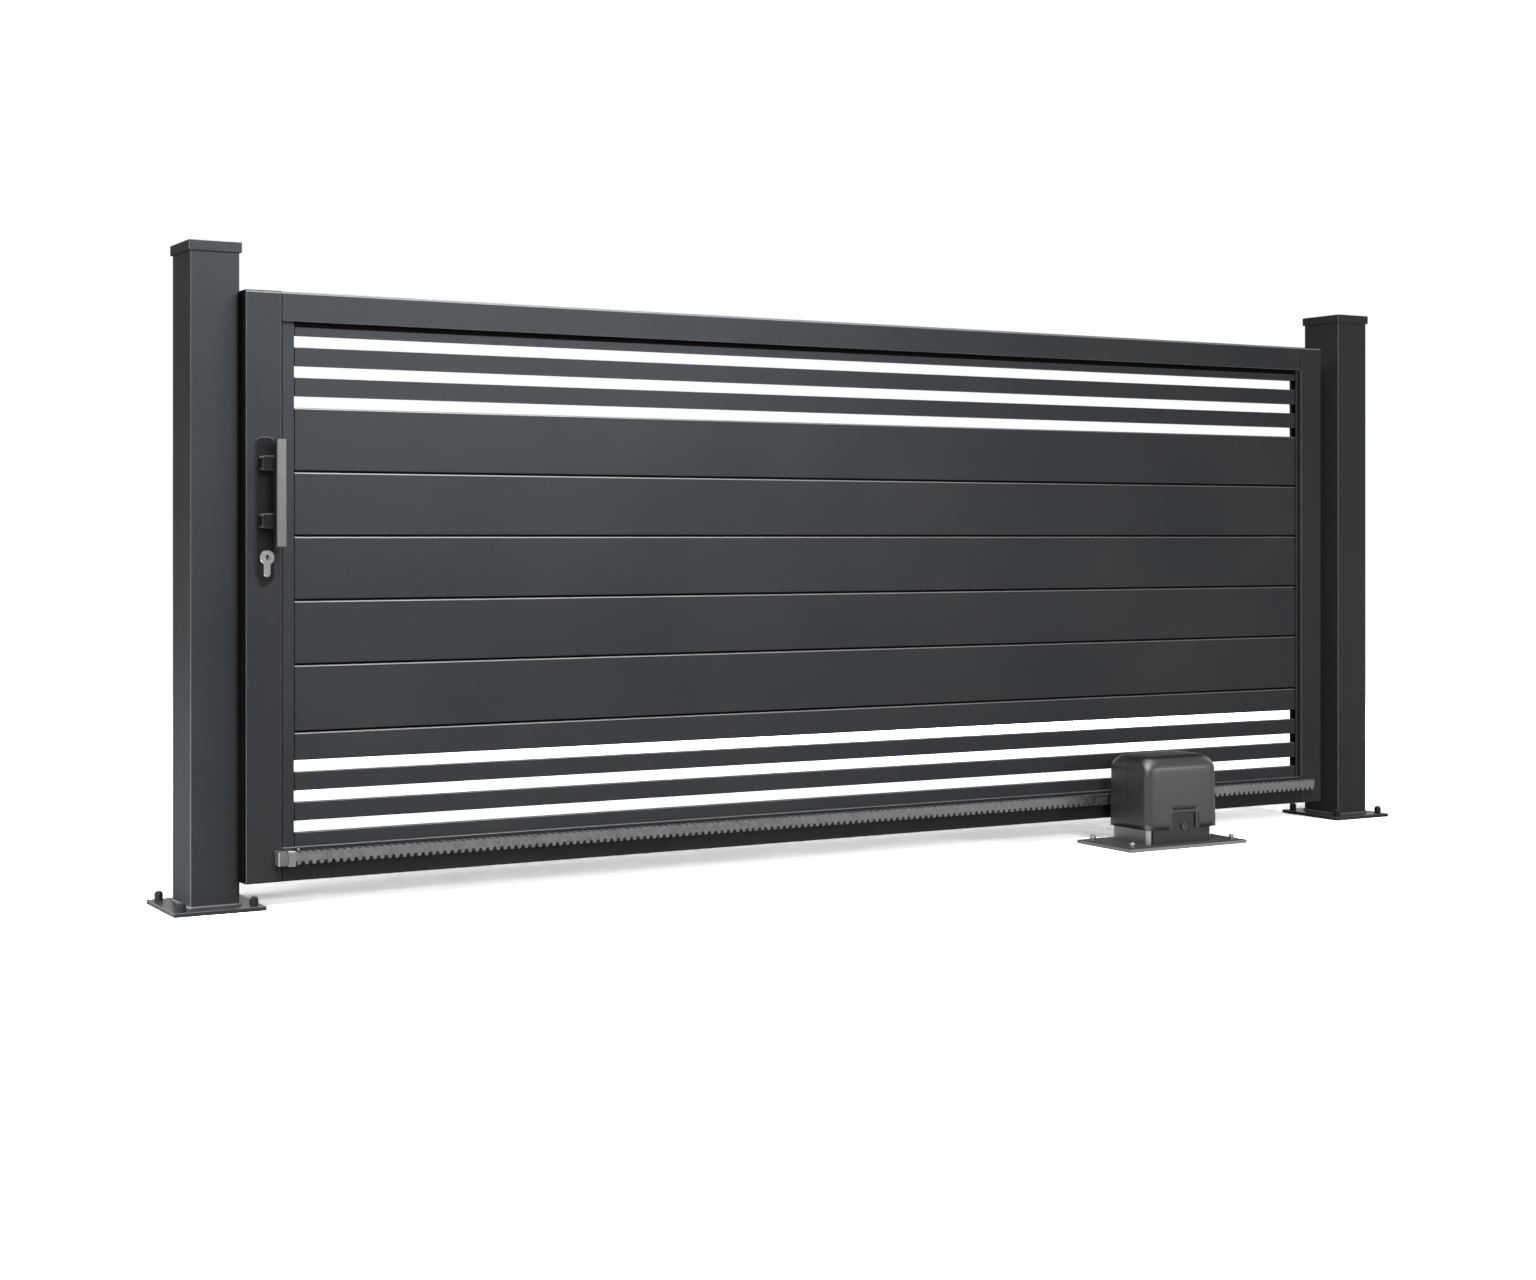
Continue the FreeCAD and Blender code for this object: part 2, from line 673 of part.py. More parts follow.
panel_edge = housing_corner
panel_outline = [
    (housing_left + panel_edge, housing_base, 0.0), (housing_right - panel_edge, housing_base, 0.0),
    (housing_right - panel_edge, hood_base - notch_gap, 0.0),
    (notch_right - notch_gap, hood_base - notch_gap, 0.0),
    (notch_right - notch_gap, notch_top - notch_gap, notch_corner - notch_gap),
    (notch_left + notch_gap, notch_top - notch_gap, notch_corner - notch_gap),
    (notch_left + notch_gap, hood_base - notch_gap, 0.0),
    (housing_left + panel_edge, hood_base - notch_gap, 0.0)]
key_x = notch_x + key_offset
key_z = hood_base + key_above_hood_base
key_hole = rod(key_radius, FreeCAD.Vector(key_x, housing_front - 1, key_z),
               FreeCAD.Vector(key_x, body_front + 1, key_z))
panel = prism("y", housing_front, body_front, panel_outline)
rim_left = notch_left + panel_rim_inset
rim_right = notch_right - panel_rim_inset
rim_top = notch_top - panel_rim_inset
rim_outer = [(rim_left, hood_base, 0.0), (rim_right, hood_base, 0.0),
             (rim_right, rim_top, panel_rim_corner), (rim_left, rim_top, panel_rim_corner)]
rim_inner = [(rim_left + panel_rim_width, hood_base, 0.0), (rim_right - panel_rim_width, hood_base, 0.0),
             (rim_right - panel_rim_width, rim_top - panel_rim_width, panel_rim_corner - panel_rim_width),
             (rim_left + panel_rim_width, rim_top - panel_rim_width, panel_rim_corner - panel_rim_width)]
rim = prism("y", housing_front - panel_rim_height, housing_front + 1, rim_outer)
rim = rim.cut(prism("y", housing_front - panel_rim_height - 1, housing_front + 2, rim_inner))
key_dish_cut = rod(key_dish_radius, FreeCAD.Vector(key_x, housing_front - 1, key_z),
                   FreeCAD.Vector(key_x, housing_front + key_dish_depth, key_z))
add("release_panel", panel.fuse(rim).cut(key_dish_cut).cut(key_hole).removeSplitter())

key_face = housing_front - key_depth
key_body = rod(key_radius, FreeCAD.Vector(key_x, key_face, key_z), FreeCAD.Vector(key_x, body_front, key_z))
key_dish = rod(key_radius - key_ring_wall, FreeCAD.Vector(key_x, key_face - 1, key_z),
               FreeCAD.Vector(key_x, key_face + key_ring_wall / 2, key_z))
key_slot = box(key_x - key_slot_width / 2, key_x + key_slot_width / 2, key_face - 1, housing_front,
               key_z - key_slot_height / 2, key_z + key_slot_height / 2)
add("release_key_lock", key_body.cut(key_dish).cut(key_slot))


# Roller carriages: two stand in line on the drive plate, and their rollers carry the bottom rail

axle_z = (track_floor + track_roof) / 2
roller_radius = (track_roof - track_floor) / 2 - seat_gap
wheelbase = 2 * roller_radius + roller_gap
roller_inner = stem_thickness / 2 + roller_side_gap
roller_outer = (track_back - track_front) / 2 - roller_side_gap


carriages = []
rollers = []


def carriage(x):
    stem_y0 = leaf_middle - stem_thickness / 2
    stem_y1 = leaf_middle + stem_thickness / 2
    foot_y1 = stem_y1 + carriage_foot_behind_stem
    foot_y0 = foot_y1 - carriage_foot_width
    foot_top = drive_plate_thickness + carriage_foot_thickness
    half_foot = carriage_foot_length / 2
    bracket = box(x - half_foot, x + half_foot, foot_y0, foot_y1, drive_plate_thickness, foot_top)
    stem_half = wheelbase / 2 + stem_above_axle
    stem_top = axle_z + stem_above_axle
    stem = prism("y", stem_y0, stem_y1,
                 [(x - half_foot, foot_top - 1, 0.0), (x + half_foot, foot_top - 1, 0.0),
                  (x + half_foot, leaf_bottom, 0.0), (x + stem_half, axle_z, 0.0),
                  (x + stem_half, stem_top, stem_above_axle / 2),
                  (x - stem_half, stem_top, stem_above_axle / 2),
                  (x - stem_half, axle_z, 0.0), (x - half_foot, leaf_bottom, 0.0)])
    parts = [stem]
    for direction in (-1, 1):
        axle_x = x + direction * wheelbase / 2
        for face in (-1, 1):
            inner = FreeCAD.Vector(axle_x, leaf_middle + face * roller_inner, axle_z)
            outer = FreeCAD.Vector(axle_x, leaf_middle + face * roller_outer, axle_z)
            wheel = rod(roller_radius, inner, outer)
            rollers.append(wheel.cut(rod(axle_radius + shaft_running_gap, inner, outer)))
        parts.append(rod(axle_radius, FreeCAD.Vector(axle_x, leaf_middle - roller_outer, axle_z),
                         FreeCAD.Vector(axle_x, leaf_middle + roller_outer, axle_z)))
        head_x = x + direction * carriage_bolt_spacing / 2
        head_y = (foot_y0 + stem_y0) / 2
        parts.append(rod(carriage_bolt_head_radius, FreeCAD.Vector(head_x, head_y, foot_top - 1),
                         FreeCAD.Vector(head_x, head_y, foot_top + carriage_bolt_head)))
    carriages.append(bracket.fuse(parts).removeSplitter())


first_carriage_x = pinion_x + carriage_from_pinion
carriage(first_carriage_x)
carriage(first_carriage_x + 2 * wheelbase)
add("roller_carriages", *carriages)
add("carriage_rollers", *rollers)


# Handle and lock

plate_x_left = leaf_left + plate_left
plate_x_right = leaf_left + plate_right
plate_round = (plate_right - plate_left) / 2
plate_face = leaf_front - plate_thickness
plate_outline = [(plate_x_left, plate_bottom, plate_round - 0.01),
                 (plate_x_right, plate_bottom, plate_round - 0.01),
                 (plate_x_right, plate_top, plate_top_corner), (plate_x_left, plate_top, plate_top_corner)]
handle_plate = prism("y", plate_face, leaf_front, plate_outline)
add("handle_plate", handle_plate.makeChamfer(plate_bevel, edges_at(handle_plate, "y", plate_face)))

grip_x0 = leaf_left + grip_left
grip_x1 = grip_x0 + grip_width
grip_y1 = leaf_front - grip_proud
grip_y0 = grip_y1 - grip_depth
grip = prism("z", grip_bottom, grip_top, rect(grip_x0, grip_x1, grip_y0, grip_y1, grip_corner))
grip_ends = [e for e in grip.Edges if abs(e.Vertexes[0].Z - e.Vertexes[-1].Z) < 0.01]
add("handle_grip", grip.makeChamfer(grip_end_bevel, grip_ends))

handle_bosses = []
for boss_z in boss_heights:
    half = boss_height / 2
    boss_x0 = grip_x0 - boss_width
    boss_x1 = grip_x0 + boss_under_grip
    block = prism("y", grip_y1, plate_face,
                  [(boss_x0, boss_z - half, boss_corner), (boss_x1, boss_z - half, 0.0),
                   (boss_x1, boss_z + half, 0.0), (boss_x0, boss_z + half, boss_corner)])
    handle_bosses.append(block.makeChamfer(boss_bevel, edges_at(block, "y", grip_y1)))
add("handle_bosses", *handle_bosses)


escutcheons = []
plugs = []


def lock_side(inner_y, direction):
    x = leaf_left + lock_centre_x
    outer_y = inner_y + direction * lock_proud
    disc = rod(lock_radius, FreeCAD.Vector(x, inner_y, lock_centre_z),
               FreeCAD.Vector(x, outer_y, lock_centre_z))
    tail = prism("y", inner_y, outer_y,
                 rect(x - lock_tail_width / 2, x + lock_tail_width / 2, lock_tail_bottom, lock_centre_z,
                      lock_tail_width / 2 - 0.01))
    bore = rod(plug_radius, FreeCAD.Vector(x, inner_y - direction, lock_centre_z),
               FreeCAD.Vector(x, outer_y + direction, lock_centre_z))
    body = disc.fuse(tail).removeSplitter()
    rim = [e for e in body.Edges if all(abs(v.Y - outer_y) < 0.01 for v in e.Vertexes)]
    escutcheons.append(body.makeChamfer(lock_bevel, rim).cut(bore))
    face_y = outer_y + direction * plug_proud
    plug = rod(plug_radius, FreeCAD.Vector(x, inner_y, lock_centre_z), FreeCAD.Vector(x, face_y, lock_centre_z))
    low_y, high_y = sorted((face_y + direction, face_y - direction * lock_proud / 2))
    keyway = box(x - keyway_width / 2, x + keyway_width / 2, low_y, high_y,
                 lock_centre_z - keyway_height / 2, lock_centre_z + keyway_height / 2)
    plugs.append(plug.cut(keyway))


lock_side(plate_face, -1)
lock_side(leaf_back, 1)
add("lock_escutcheons", *escutcheons)
add("lock_plugs", *plugs)


for name, shape in nodes.items():
    shape.exportStep("parts/%s.step" % name)
    print("%-24s solids %2d  valid %s  volume %.0f" % (name, len(shape.Solids), shape.isValid(), shape.Volume))
print("nodes", len(nodes))
print("pinion centre", pinion_x, (rack_front + rack_back) / 2, pinion_z, "ratio", 1000 / pitch_radius)
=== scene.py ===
import json
import math

import bmesh
import bpy
import numpy as np
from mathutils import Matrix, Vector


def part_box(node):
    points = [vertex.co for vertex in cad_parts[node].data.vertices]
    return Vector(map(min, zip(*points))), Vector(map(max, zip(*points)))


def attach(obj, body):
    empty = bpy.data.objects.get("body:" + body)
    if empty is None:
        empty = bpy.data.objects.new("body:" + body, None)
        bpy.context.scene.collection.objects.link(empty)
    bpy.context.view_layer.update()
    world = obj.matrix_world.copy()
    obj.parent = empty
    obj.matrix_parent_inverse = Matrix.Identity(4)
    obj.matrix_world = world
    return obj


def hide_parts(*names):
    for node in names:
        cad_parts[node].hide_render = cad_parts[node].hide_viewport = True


# Sliding driveway gate: finishes, small fittings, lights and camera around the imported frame.
# Metres, in the CAD frame: +X runs to the right post, +Z is up, and -Y is the drive side.

mm = 0.001

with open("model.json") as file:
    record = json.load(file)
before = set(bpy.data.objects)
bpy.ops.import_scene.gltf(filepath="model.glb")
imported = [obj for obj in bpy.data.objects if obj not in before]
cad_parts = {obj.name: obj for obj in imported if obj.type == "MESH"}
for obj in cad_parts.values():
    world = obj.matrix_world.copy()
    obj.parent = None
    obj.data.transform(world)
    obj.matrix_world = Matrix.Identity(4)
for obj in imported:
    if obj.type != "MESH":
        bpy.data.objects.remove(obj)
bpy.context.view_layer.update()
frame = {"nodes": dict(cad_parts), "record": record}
nodes = frame["nodes"]
print("frame loaded,", len(nodes), "nodes")

noiseLow, noiseHigh = 0.3, 0.7  # nearly all of a noise pattern lies between these


def toLinear(hexColour):
    # sRGB hex to linear RGBA
    channels = [int(hexColour[i:i + 2], 16) / 255 for i in (1, 3, 5)]
    linear = [c / 12.92 if c <= 0.04045 else ((c + 0.055) / 1.055) ** 2.4 for c in channels]
    return (*linear, 1.0)


def addNode(tree, kind, settings=None, links=None):
    # One node: settings go to its own properties or its inputs, links go into its inputs.
    # By number, Map Range reads from 1 to 2 and gives 3 to 4, and a colour Mix lays 7 over 6.
    node = tree.nodes.new("ShaderNode" + kind)
    for key, value in (settings or {}).items():
        if isinstance(key, str) and hasattr(node, key):
            setattr(node, key, value)
        else:
            node.inputs[key].default_value = value
    for key, socket in (links or {}).items():
        tree.links.new(socket, node.inputs[key])
    return node


def startMaterial(name, shaderSettings):
    # A shader with its output, and the place on the object in metres
    material = bpy.data.materials.new(name)
    material.use_nodes = True
    tree = material.node_tree
    tree.nodes.clear()
    shader = addNode(tree, "BsdfPrincipled", shaderSettings)
    addNode(tree, "OutputMaterial", links={"Surface": shader.outputs["BSDF"]})
    place = addNode(tree, "TexCoord").outputs["Object"]
    return material, tree, shader, place


def mottled(tree, pattern, low, high, colours):
    # From the first colour where the pattern is low to the second where it is high
    share = addNode(tree, "MapRange", {1: low, 2: high}, {0: pattern}).outputs[0]
    ends = {"data_type": "RGBA", 6: toLinear(colours[0]), 7: toLinear(colours[1])}
    return addNode(tree, "Mix", ends, {0: share}).outputs[2]


def layColours(tree, colour, layers):
    # Layers of factor and hex colour, laid over the surface in turn
    for factor, hexColour in layers:
        top = {"data_type": "RGBA", 7: toLinear(hexColour)}
        colour = addNode(tree, "Mix", top, {0: factor, 6: colour}).outputs[2]
    return colour


def finishShader(tree, shader, look, colour, tone, height):
    # Colour, a roughness that follows the tone, and a bump of a real depth
    low, high = look["roughness"]
    rough = addNode(tree, "MapRange", {1: noiseLow, 2: noiseHigh, 3: low, 4: high}, {0: tone})
    bump = addNode(tree, "Bump", {"Strength": look["bump"], "Distance": look["depth"]}, {"Height": height})
    tree.links.new(colour, shader.inputs["Base Color"])
    tree.links.new(rough.outputs[0], shader.inputs["Roughness"])
    tree.links.new(bump.outputs[0], shader.inputs["Normal"])


# Powder coat: polyester powder, sprayed and oven cured. Fine pebbles scatter the light, so
# the sheen is broad, and the film's tone drifts a little along a long profile.

powderLook = {
    "anthracite": ("#373A3D", "#424446"),
    "upright": ("#35373A", "#3F4143"),  # the stiles, a little darker than the rest: painted shade
    "low": ("#2E3133", "#383A3C"),  # the bottom rail, darker than the rest: painted shade under the rack
    "black": ("#111213", "#191A1C"),
    "grain": 2.4 * mm,  # the real grain is about 0.6 mm, drawn coarser so that it shows
    "drift": 0.45,
    "filmShare": (0.1, 0.6),  # share of the lighter colour that the drift gives, and the pebbles below
    "pebbleShare": (0.0, 0.4),
    "roughness": (0.44, 0.56),
    "bump": 0.35,
    "depth": 0.25 * mm,
    "gloss": 0.02,
    "ledge": "#646668",  # lighter on faces that look up: painted light from above
    "corner": "#76787B",  # lighter along rounded corners: painted highlight
    "bevel": "#BCBDBE",  # bevels that look up, lighter still: painted highlight
    "bevelLightAlongX": (0.1, 2.8, 1.0, 0.2),  # the bevels' painted highlight is strongest at the left end, where the light is brightest: from x, to x, and how much at each
    "rim": "#8A8C8F",  # the top few millimetres of a side face, lighter: painted highlight
    "shade": "#050505",  # painted shade in joints, grooves and keyways, and painted shadow under the top rail
    "softEdge": 0.7 * mm,
}


def edgesAndLedges(tree):
    # Factors from the face's direction. Total: |x y| + |y z| + |z x|, 0 on every straight face, 0.5 at
    # the middle of a rounded edge and 1 where three meet. Corner: from the total. Ledge: upward z.
    # Bevel: corner x ledge.
    normal = addNode(tree, "NewGeometry").outputs["Normal"]
    parts = addNode(tree, "SeparateXYZ", links={0: normal}).outputs
    size = [addNode(tree, "Math", {"operation": "ABSOLUTE"}, {0: part}).outputs[0] for part in parts]
    total = addNode(tree, "Math", {"operation": "MULTIPLY"}, {0: size[0], 1: size[1]}).outputs[0]
    for i, j in ((1, 2), (2, 0)):
        links = {0: size[i], 1: size[j], 2: total}
        total = addNode(tree, "Math", {"operation": "MULTIPLY_ADD"}, links).outputs[0]
    corner = addNode(tree, "MapRange", {1: 0.15, 2: 0.45, 3: 0.0, 4: 0.8}, {0: total}).outputs[0]
    ledge = addNode(tree, "MapRange", {1: 0.45, 2: 0.75}, {0: parts[2]}).outputs[0]
    bevel = addNode(tree, "Math", {"operation": "MULTIPLY"}, {0: corner, 1: ledge}).outputs[0]
    return {"total": total, "corner": corner, "ledge": ledge, "bevel": bevel}


def nearLevel(tree, place, axis, centre, half):
    # 1 within half of the centre along one axis, falling to 0 over the soft edge
    along = addNode(tree, "SeparateXYZ", links={0: place}).outputs[axis]
    offset = addNode(tree, "Math", {"operation": "SUBTRACT", 1: centre}, {0: along}).outputs[0]
    away = addNode(tree, "Math", {"operation": "ABSOLUTE"}, {0: offset}).outputs[0]
    fall = {1: half, 2: half + powderLook["softEdge"], 3: 1.0, 4: 0.0}
    return addNode(tree, "MapRange", fall, {0: away}).outputs[0]


def sideOnly(tree, factor, ledge):
    # The factor times 1 - ledge, which leaves faces that look up alone
    upright = addNode(tree, "Math", {"operation": "SUBTRACT", 0: 1.0}, {1: ledge}).outputs[0]
    return addNode(tree, "Math", {"operation": "MULTIPLY"}, {0: factor, 1: upright}).outputs[0]


def powderCoat(name, colours, gloss=powderLook["gloss"], fade=1.0, joints=(), highlightLines=(),
               roughness=powderLook["roughness"]):
    # Shade lines and highlight lines are lists of axis, centre and half width: painted shade, and painted
    # highlights on side faces.
    # Fade weakens the painted highlights and the painted light on corners, upward faces and bevels.
    material, tree, shader, place = startMaterial(name, {"Specular IOR Level": gloss, "IOR": 1.5})
    film = addNode(tree, "TexNoise", {"Scale": 1 / powderLook["drift"], "Detail": 2.0},
                   {"Vector": place}).outputs["Fac"]
    pebble = addNode(tree, "TexNoise", {"Scale": 1 / powderLook["grain"], "Detail": 3.0, "Roughness": 0.6},
                     {"Vector": place}).outputs["Fac"]
    shares = []
    for pattern, (low, high) in ((film, powderLook["filmShare"]), (pebble, powderLook["pebbleShare"])):
        span = {1: noiseLow, 2: noiseHigh, 3: low, 4: high}
        shares.append(addNode(tree, "MapRange", span, {0: pattern}).outputs[0])
    both = addNode(tree, "Math", {"operation": "ADD"}, {0: shares[0], 1: shares[1]}).outputs[0]

    fromX, toX, most, least = powderLook["bevelLightAlongX"]
    lengthways = addNode(tree, "SeparateXYZ", links={0: place}).outputs[0]
    bevelLightAlongX = addNode(tree, "MapRange", {1: fromX, 2: toX, 3: most, 4: least}, {0: lengthways}).outputs[0]
    facing = edgesAndLedges(tree)
    # Painted highlight on bevels that look up, strongest at the left end
    paintedHighlight = addNode(tree, "Math", {"operation": "MULTIPLY"}, {0: facing["bevel"], 1: bevelLightAlongX}).outputs[0]
    # Painted highlights on corners and bevels, and painted light on upward faces
    layers = []
    for factor, key in ((facing["corner"], "corner"), (facing["ledge"], "ledge"), (paintedHighlight, "bevel")):
        faded = addNode(tree, "Math", {"operation": "MULTIPLY", 1: fade}, {0: factor}).outputs[0]
        layers.append((faded, powderLook[key]))
    # Painted shade in joints and grooves, and the top rail's painted shadow
    for level in joints:
        layers.append((nearLevel(tree, place, *level), powderLook["shade"]))
    # Painted highlight on the top millimetres of side faces
    for level in highlightLines:
        onSides = sideOnly(tree, nearLevel(tree, place, *level), facing["ledge"])
        layers.append((onSides, powderLook["rim"]))
    colour = layColours(tree, mottled(tree, both, 0.0, 1.0, colours), layers)
    finishShader(tree, shader, {**powderLook, "roughness": roughness}, colour, pebble, pebble)
    return material


# Steel, aluminium and nickel: one builder for the bare metals. A cell pattern gives the zinc flowers
# of galvanising, long stretched noise gives brushing or turning marks, and fine noise a blasted skin.
# The skin's real grain is 0.1 to 0.3 mm, drawn coarser so that it shows.

metalSkin = {"metallic": 1.0, "specular": 0.5, "rubbed": 0.6, "bump": 0.3, "depth": 0.08 * mm}

# An edge colour is a painted highlight along corners and upper edges.
metalLooks = {
    "galvanisedRack": {
        "colours": ("#5C5D5F", "#747678"), "roughness": (0.42, 0.60), "flower": 7 * mm,
        "skin": 1.2 * mm, "edge": "#C8C9CA"},
    "galvanisedPlate": {  # dulled to oxide, its side faces lighter: painted light
        "colours": ("#46484A", "#5A5C5E"), "roughness": (0.60, 0.76), "flower": 11 * mm,
        "skin": 1.5 * mm, "edge": "#56585A", "metallic": 0.08, "specular": 0.08,
        "rim": (2, 6 * mm, 5 * mm), "rimColour": "#9A9C9E"},
    "machinedSteel": {
        "colours": ("#7F8082", "#9A9B9D"), "roughness": (0.28, 0.42), "brush": (1.0, 60.0, 1.0),
        "skin": 0.8 * mm},
    "zincBolt": {
        "colours": ("#8A8B8C", "#A8A9AA"), "roughness": (0.25, 0.40), "skin": 1.0 * mm},
    "zincClamp": {
        "colours": ("#6C6D6F", "#828486"), "roughness": (0.32, 0.46), "skin": 1.2 * mm,
        "edge": "#D0D1D2"},
    "castAluminium": {
        "colours": ("#707274", "#86888A"), "roughness": (0.30, 0.44), "skin": 1.1 * mm,
        "edge": "#C4C5C6", "rubbed": 0.8},
    "anodisedGrip": {
        "colours": ("#5A5A5B", "#6A6A6B"), "roughness": (0.30, 0.42), "brush": (1.0, 1.0, 0.02),
        "skin": 0.7 * mm},
    "satinNickel": {
        "colours": ("#7A7A79", "#8B8B8A"), "roughness": (0.22, 0.34), "brush": (0.05, 1.0, 1.0),
        "skin": 0.5 * mm, "edge": "#DADAD9"},
    "plugNickel": {
        "colours": ("#676766", "#7A7A79"), "roughness": (0.26, 0.36), "skin": 0.5 * mm,
        "edge": "#C4C4C3"},
}


def bareMetal(name, shadeLevels=()):
    # The levels given are filled with painted shade, as a powder coat's shade lines are
    look = {**metalSkin, **metalLooks[name]}
    material, tree, shader, place = startMaterial(
        name, {"Metallic": look["metallic"], "Specular IOR Level": look["specular"]})
    stretched = place
    if "brush" in look:
        stretched = addNode(tree, "Mapping", {"Scale": look["brush"]}, {"Vector": place}).outputs["Vector"]
    skin = addNode(tree, "TexNoise", {"Scale": 1 / look["skin"], "Detail": 2.0},
                   {"Vector": stretched}).outputs["Fac"]
    tone = skin
    if "flower" in look:  # half zinc flowers, half clouds four flowers wide
        cells = addNode(tree, "TexVoronoi", {"Scale": 1 / look["flower"]}, {"Vector": place})
        cloud = addNode(tree, "TexNoise", {"Scale": 0.25 / look["flower"], "Detail": 2.0}, {"Vector": place})
        grey = addNode(tree, "RGBToBW", links={"Color": cells.outputs["Color"]})
        tone = addNode(tree, "Mix", {0: 0.5}, {2: grey.outputs["Val"], 3: cloud.outputs["Fac"]}).outputs[0]
    layers = []
    if "edge" in look:  # painted highlight along corners and upper edges
        facing = edgesAndLedges(tree)
        links = {0: facing["corner"], 1: facing["ledge"]}
        rubbed = addNode(tree, "Math", {"operation": "MAXIMUM"}, links).outputs[0]
        part = addNode(tree, "Math", {"operation": "MULTIPLY", 1: look["rubbed"]}, {0: rubbed}).outputs[0]
        layers.append((part, look["edge"]))
    # Painted light on the plate's side faces
    if "rim" in look:
        onSides = sideOnly(tree, nearLevel(tree, place, *look["rim"]), facing["ledge"])
        layers.append((onSides, look["rimColour"]))
    for level in shadeLevels:
        layers.append((nearLevel(tree, place, *level), powderLook["shade"]))
    colour = layColours(tree, mottled(tree, tone, 0.2, 0.8, look["colours"]), layers)
    finishShader(tree, shader, look, colour, tone, skin)
    return material


# Moulded plastic: ABS from a spark-eroded mould, a fine even grain with a satin sheen. The real
# grain is about 0.2 mm, drawn coarser so that it shows.

plasticLooks = {
    # The hood's top colour is a painted dark reflection, and its lightest colour a painted highlight where
    # three faces meet
    "hoodPlastic": {
        "colours": ("#38383B", "#404044"), "roughness": (0.30, 0.38), "grain": 1.2 * mm, "bump": 0.4,
        "depth": 0.08 * mm, "specular": 0.45, "top": "#161618", "paintedHighlight": "#D0D0D4",
        "seam": (1, -0.2492, 1.2 * mm), "seamColour": "#1A1A1C"},
    "panelPlastic": {
        "colours": ("#28292B", "#303133"), "roughness": (0.36, 0.46), "grain": 1.0 * mm, "bump": 0.4,
        "depth": 0.06 * mm, "specular": 0.3},
    "keyPlastic": {
        "colours": ("#3C3D3F", "#47484A"), "roughness": (0.26, 0.34), "grain": 0.8 * mm, "bump": 0.4,
        "depth": 0.04 * mm, "specular": 0.5},
}


def mouldedPlastic(name):
    look = plasticLooks[name]
    material, tree, shader, place = startMaterial(
        name, {"IOR": 1.53, "Specular IOR Level": look["specular"]})
    grain = addNode(tree, "TexNoise", {"Scale": 1 / look["grain"], "Detail": 2.0},
                    {"Vector": place}).outputs["Fac"]
    layers = []
    if "seam" in look:  # darker on top, a painted dark reflection; a painted highlight where three faces meet; parting line over sides and top
        facing = edgesAndLedges(tree)
        topShade = addNode(tree, "MapRange", {1: 0.0, 2: 1.0, 3: 0.0, 4: 0.8}, {0: facing["ledge"]}).outputs[0]
        paintedHighlight = addNode(tree, "MapRange", {1: 0.5, 2: 1.0, 3: 0.0, 4: 0.6}, {0: facing["total"]}).outputs[0]
        seam = nearLevel(tree, place, *look["seam"])
        layers = [(topShade, look["top"]), (paintedHighlight, look["paintedHighlight"]), (seam, look["seamColour"])]
    colour = layColours(tree, mottled(tree, grain, noiseLow, noiseHigh, look["colours"]), layers)
    finishShader(tree, shader, look, colour, grain, grain)
    return material


# Seal: extruded EPDM rubber, dull black with a grey bloom, and faint lines along the extrusion.

rubberLook = {
    "colours": ("#020202", "#060606"),
    "roughness": (0.62, 0.78),
    "gloss": 0.05,
    "lines": 40 * mm,  # the wave repeats every 0.31 of this
    "waver": 0.4,
    "bloom": 30 * mm,
    "bump": 0.3,
    "depth": 0.2 * mm,
}


def extrudedRubber():
    material, tree, shader, place = startMaterial(
        "epdmRubber", {"IOR": 1.5, "Specular IOR Level": rubberLook["gloss"]})
    bands = {"wave_type": "BANDS", "bands_direction": "Y", "Scale": 1 / rubberLook["lines"],
             "Distortion": rubberLook["waver"]}
    lines = addNode(tree, "TexWave", bands, {"Vector": place}).outputs["Fac"]
    bloom = addNode(tree, "TexNoise", {"Scale": 1 / rubberLook["bloom"], "Detail": 3.0},
                    {"Vector": place}).outputs["Fac"]
    colour = mottled(tree, bloom, 0.0, 1.0, rubberLook["colours"])
    finishShader(tree, shader, rubberLook, colour, bloom, lines)
    return material


finishes = {
    "powder_coat": powderCoat("anthracitePowderCoat", powderLook["anthracite"]),
    "black_coat": powderCoat("blackPowderCoat", powderLook["black"], 0.10, 0.55),
    "seal_rubber": extrudedRubber(),
    "rack_steel": bareMetal("galvanisedRack"),
    "plate_steel": bareMetal("galvanisedPlate"),
    "gear_steel": bareMetal("machinedSteel"),
    "bolt_steel": bareMetal("zincBolt"),
    "cast_aluminium": bareMetal("castAluminium"),
    "grip_aluminium": bareMetal("anodisedGrip"),
    "lock_nickel": bareMetal("satinNickel"),
    "hood_plastic": mouldedPlastic("hoodPlastic"),
    "panel_plastic": mouldedPlastic("panelPlastic"),
}

ownFinish = {"release_key_lock": mouldedPlastic("keyPlastic"), "rack_end_clamp": bareMetal("zincClamp")}

# Lines of painted shade where members meet and in grooves, and of painted highlight along top edges, each an
# axis, a centre and a half width: ends of members in x, seams, top edges and the top rail's painted shadow
# in z, and the bottom of the boards' grooves in y.

innerLeft, lipLeft = [corner[0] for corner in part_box("left_slat_channel")]
lipRight, innerRight = [corner[0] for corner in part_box("right_slat_channel")]
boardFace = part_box("board_1")[0][1]
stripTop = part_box("header_strip")[1][2]
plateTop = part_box("left_base_plate")[1][2]
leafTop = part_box("top_rail")[1][2]

# Painted shade in the boards' seams and at the bottom of their grooves
seams = [(2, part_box("board_%d" % number)[0][2] + 3.5 * mm, 1.6 * mm) for number in range(1, 6)]
seams.append((1, boardFace + 4.2 * mm, 1.0 * mm))
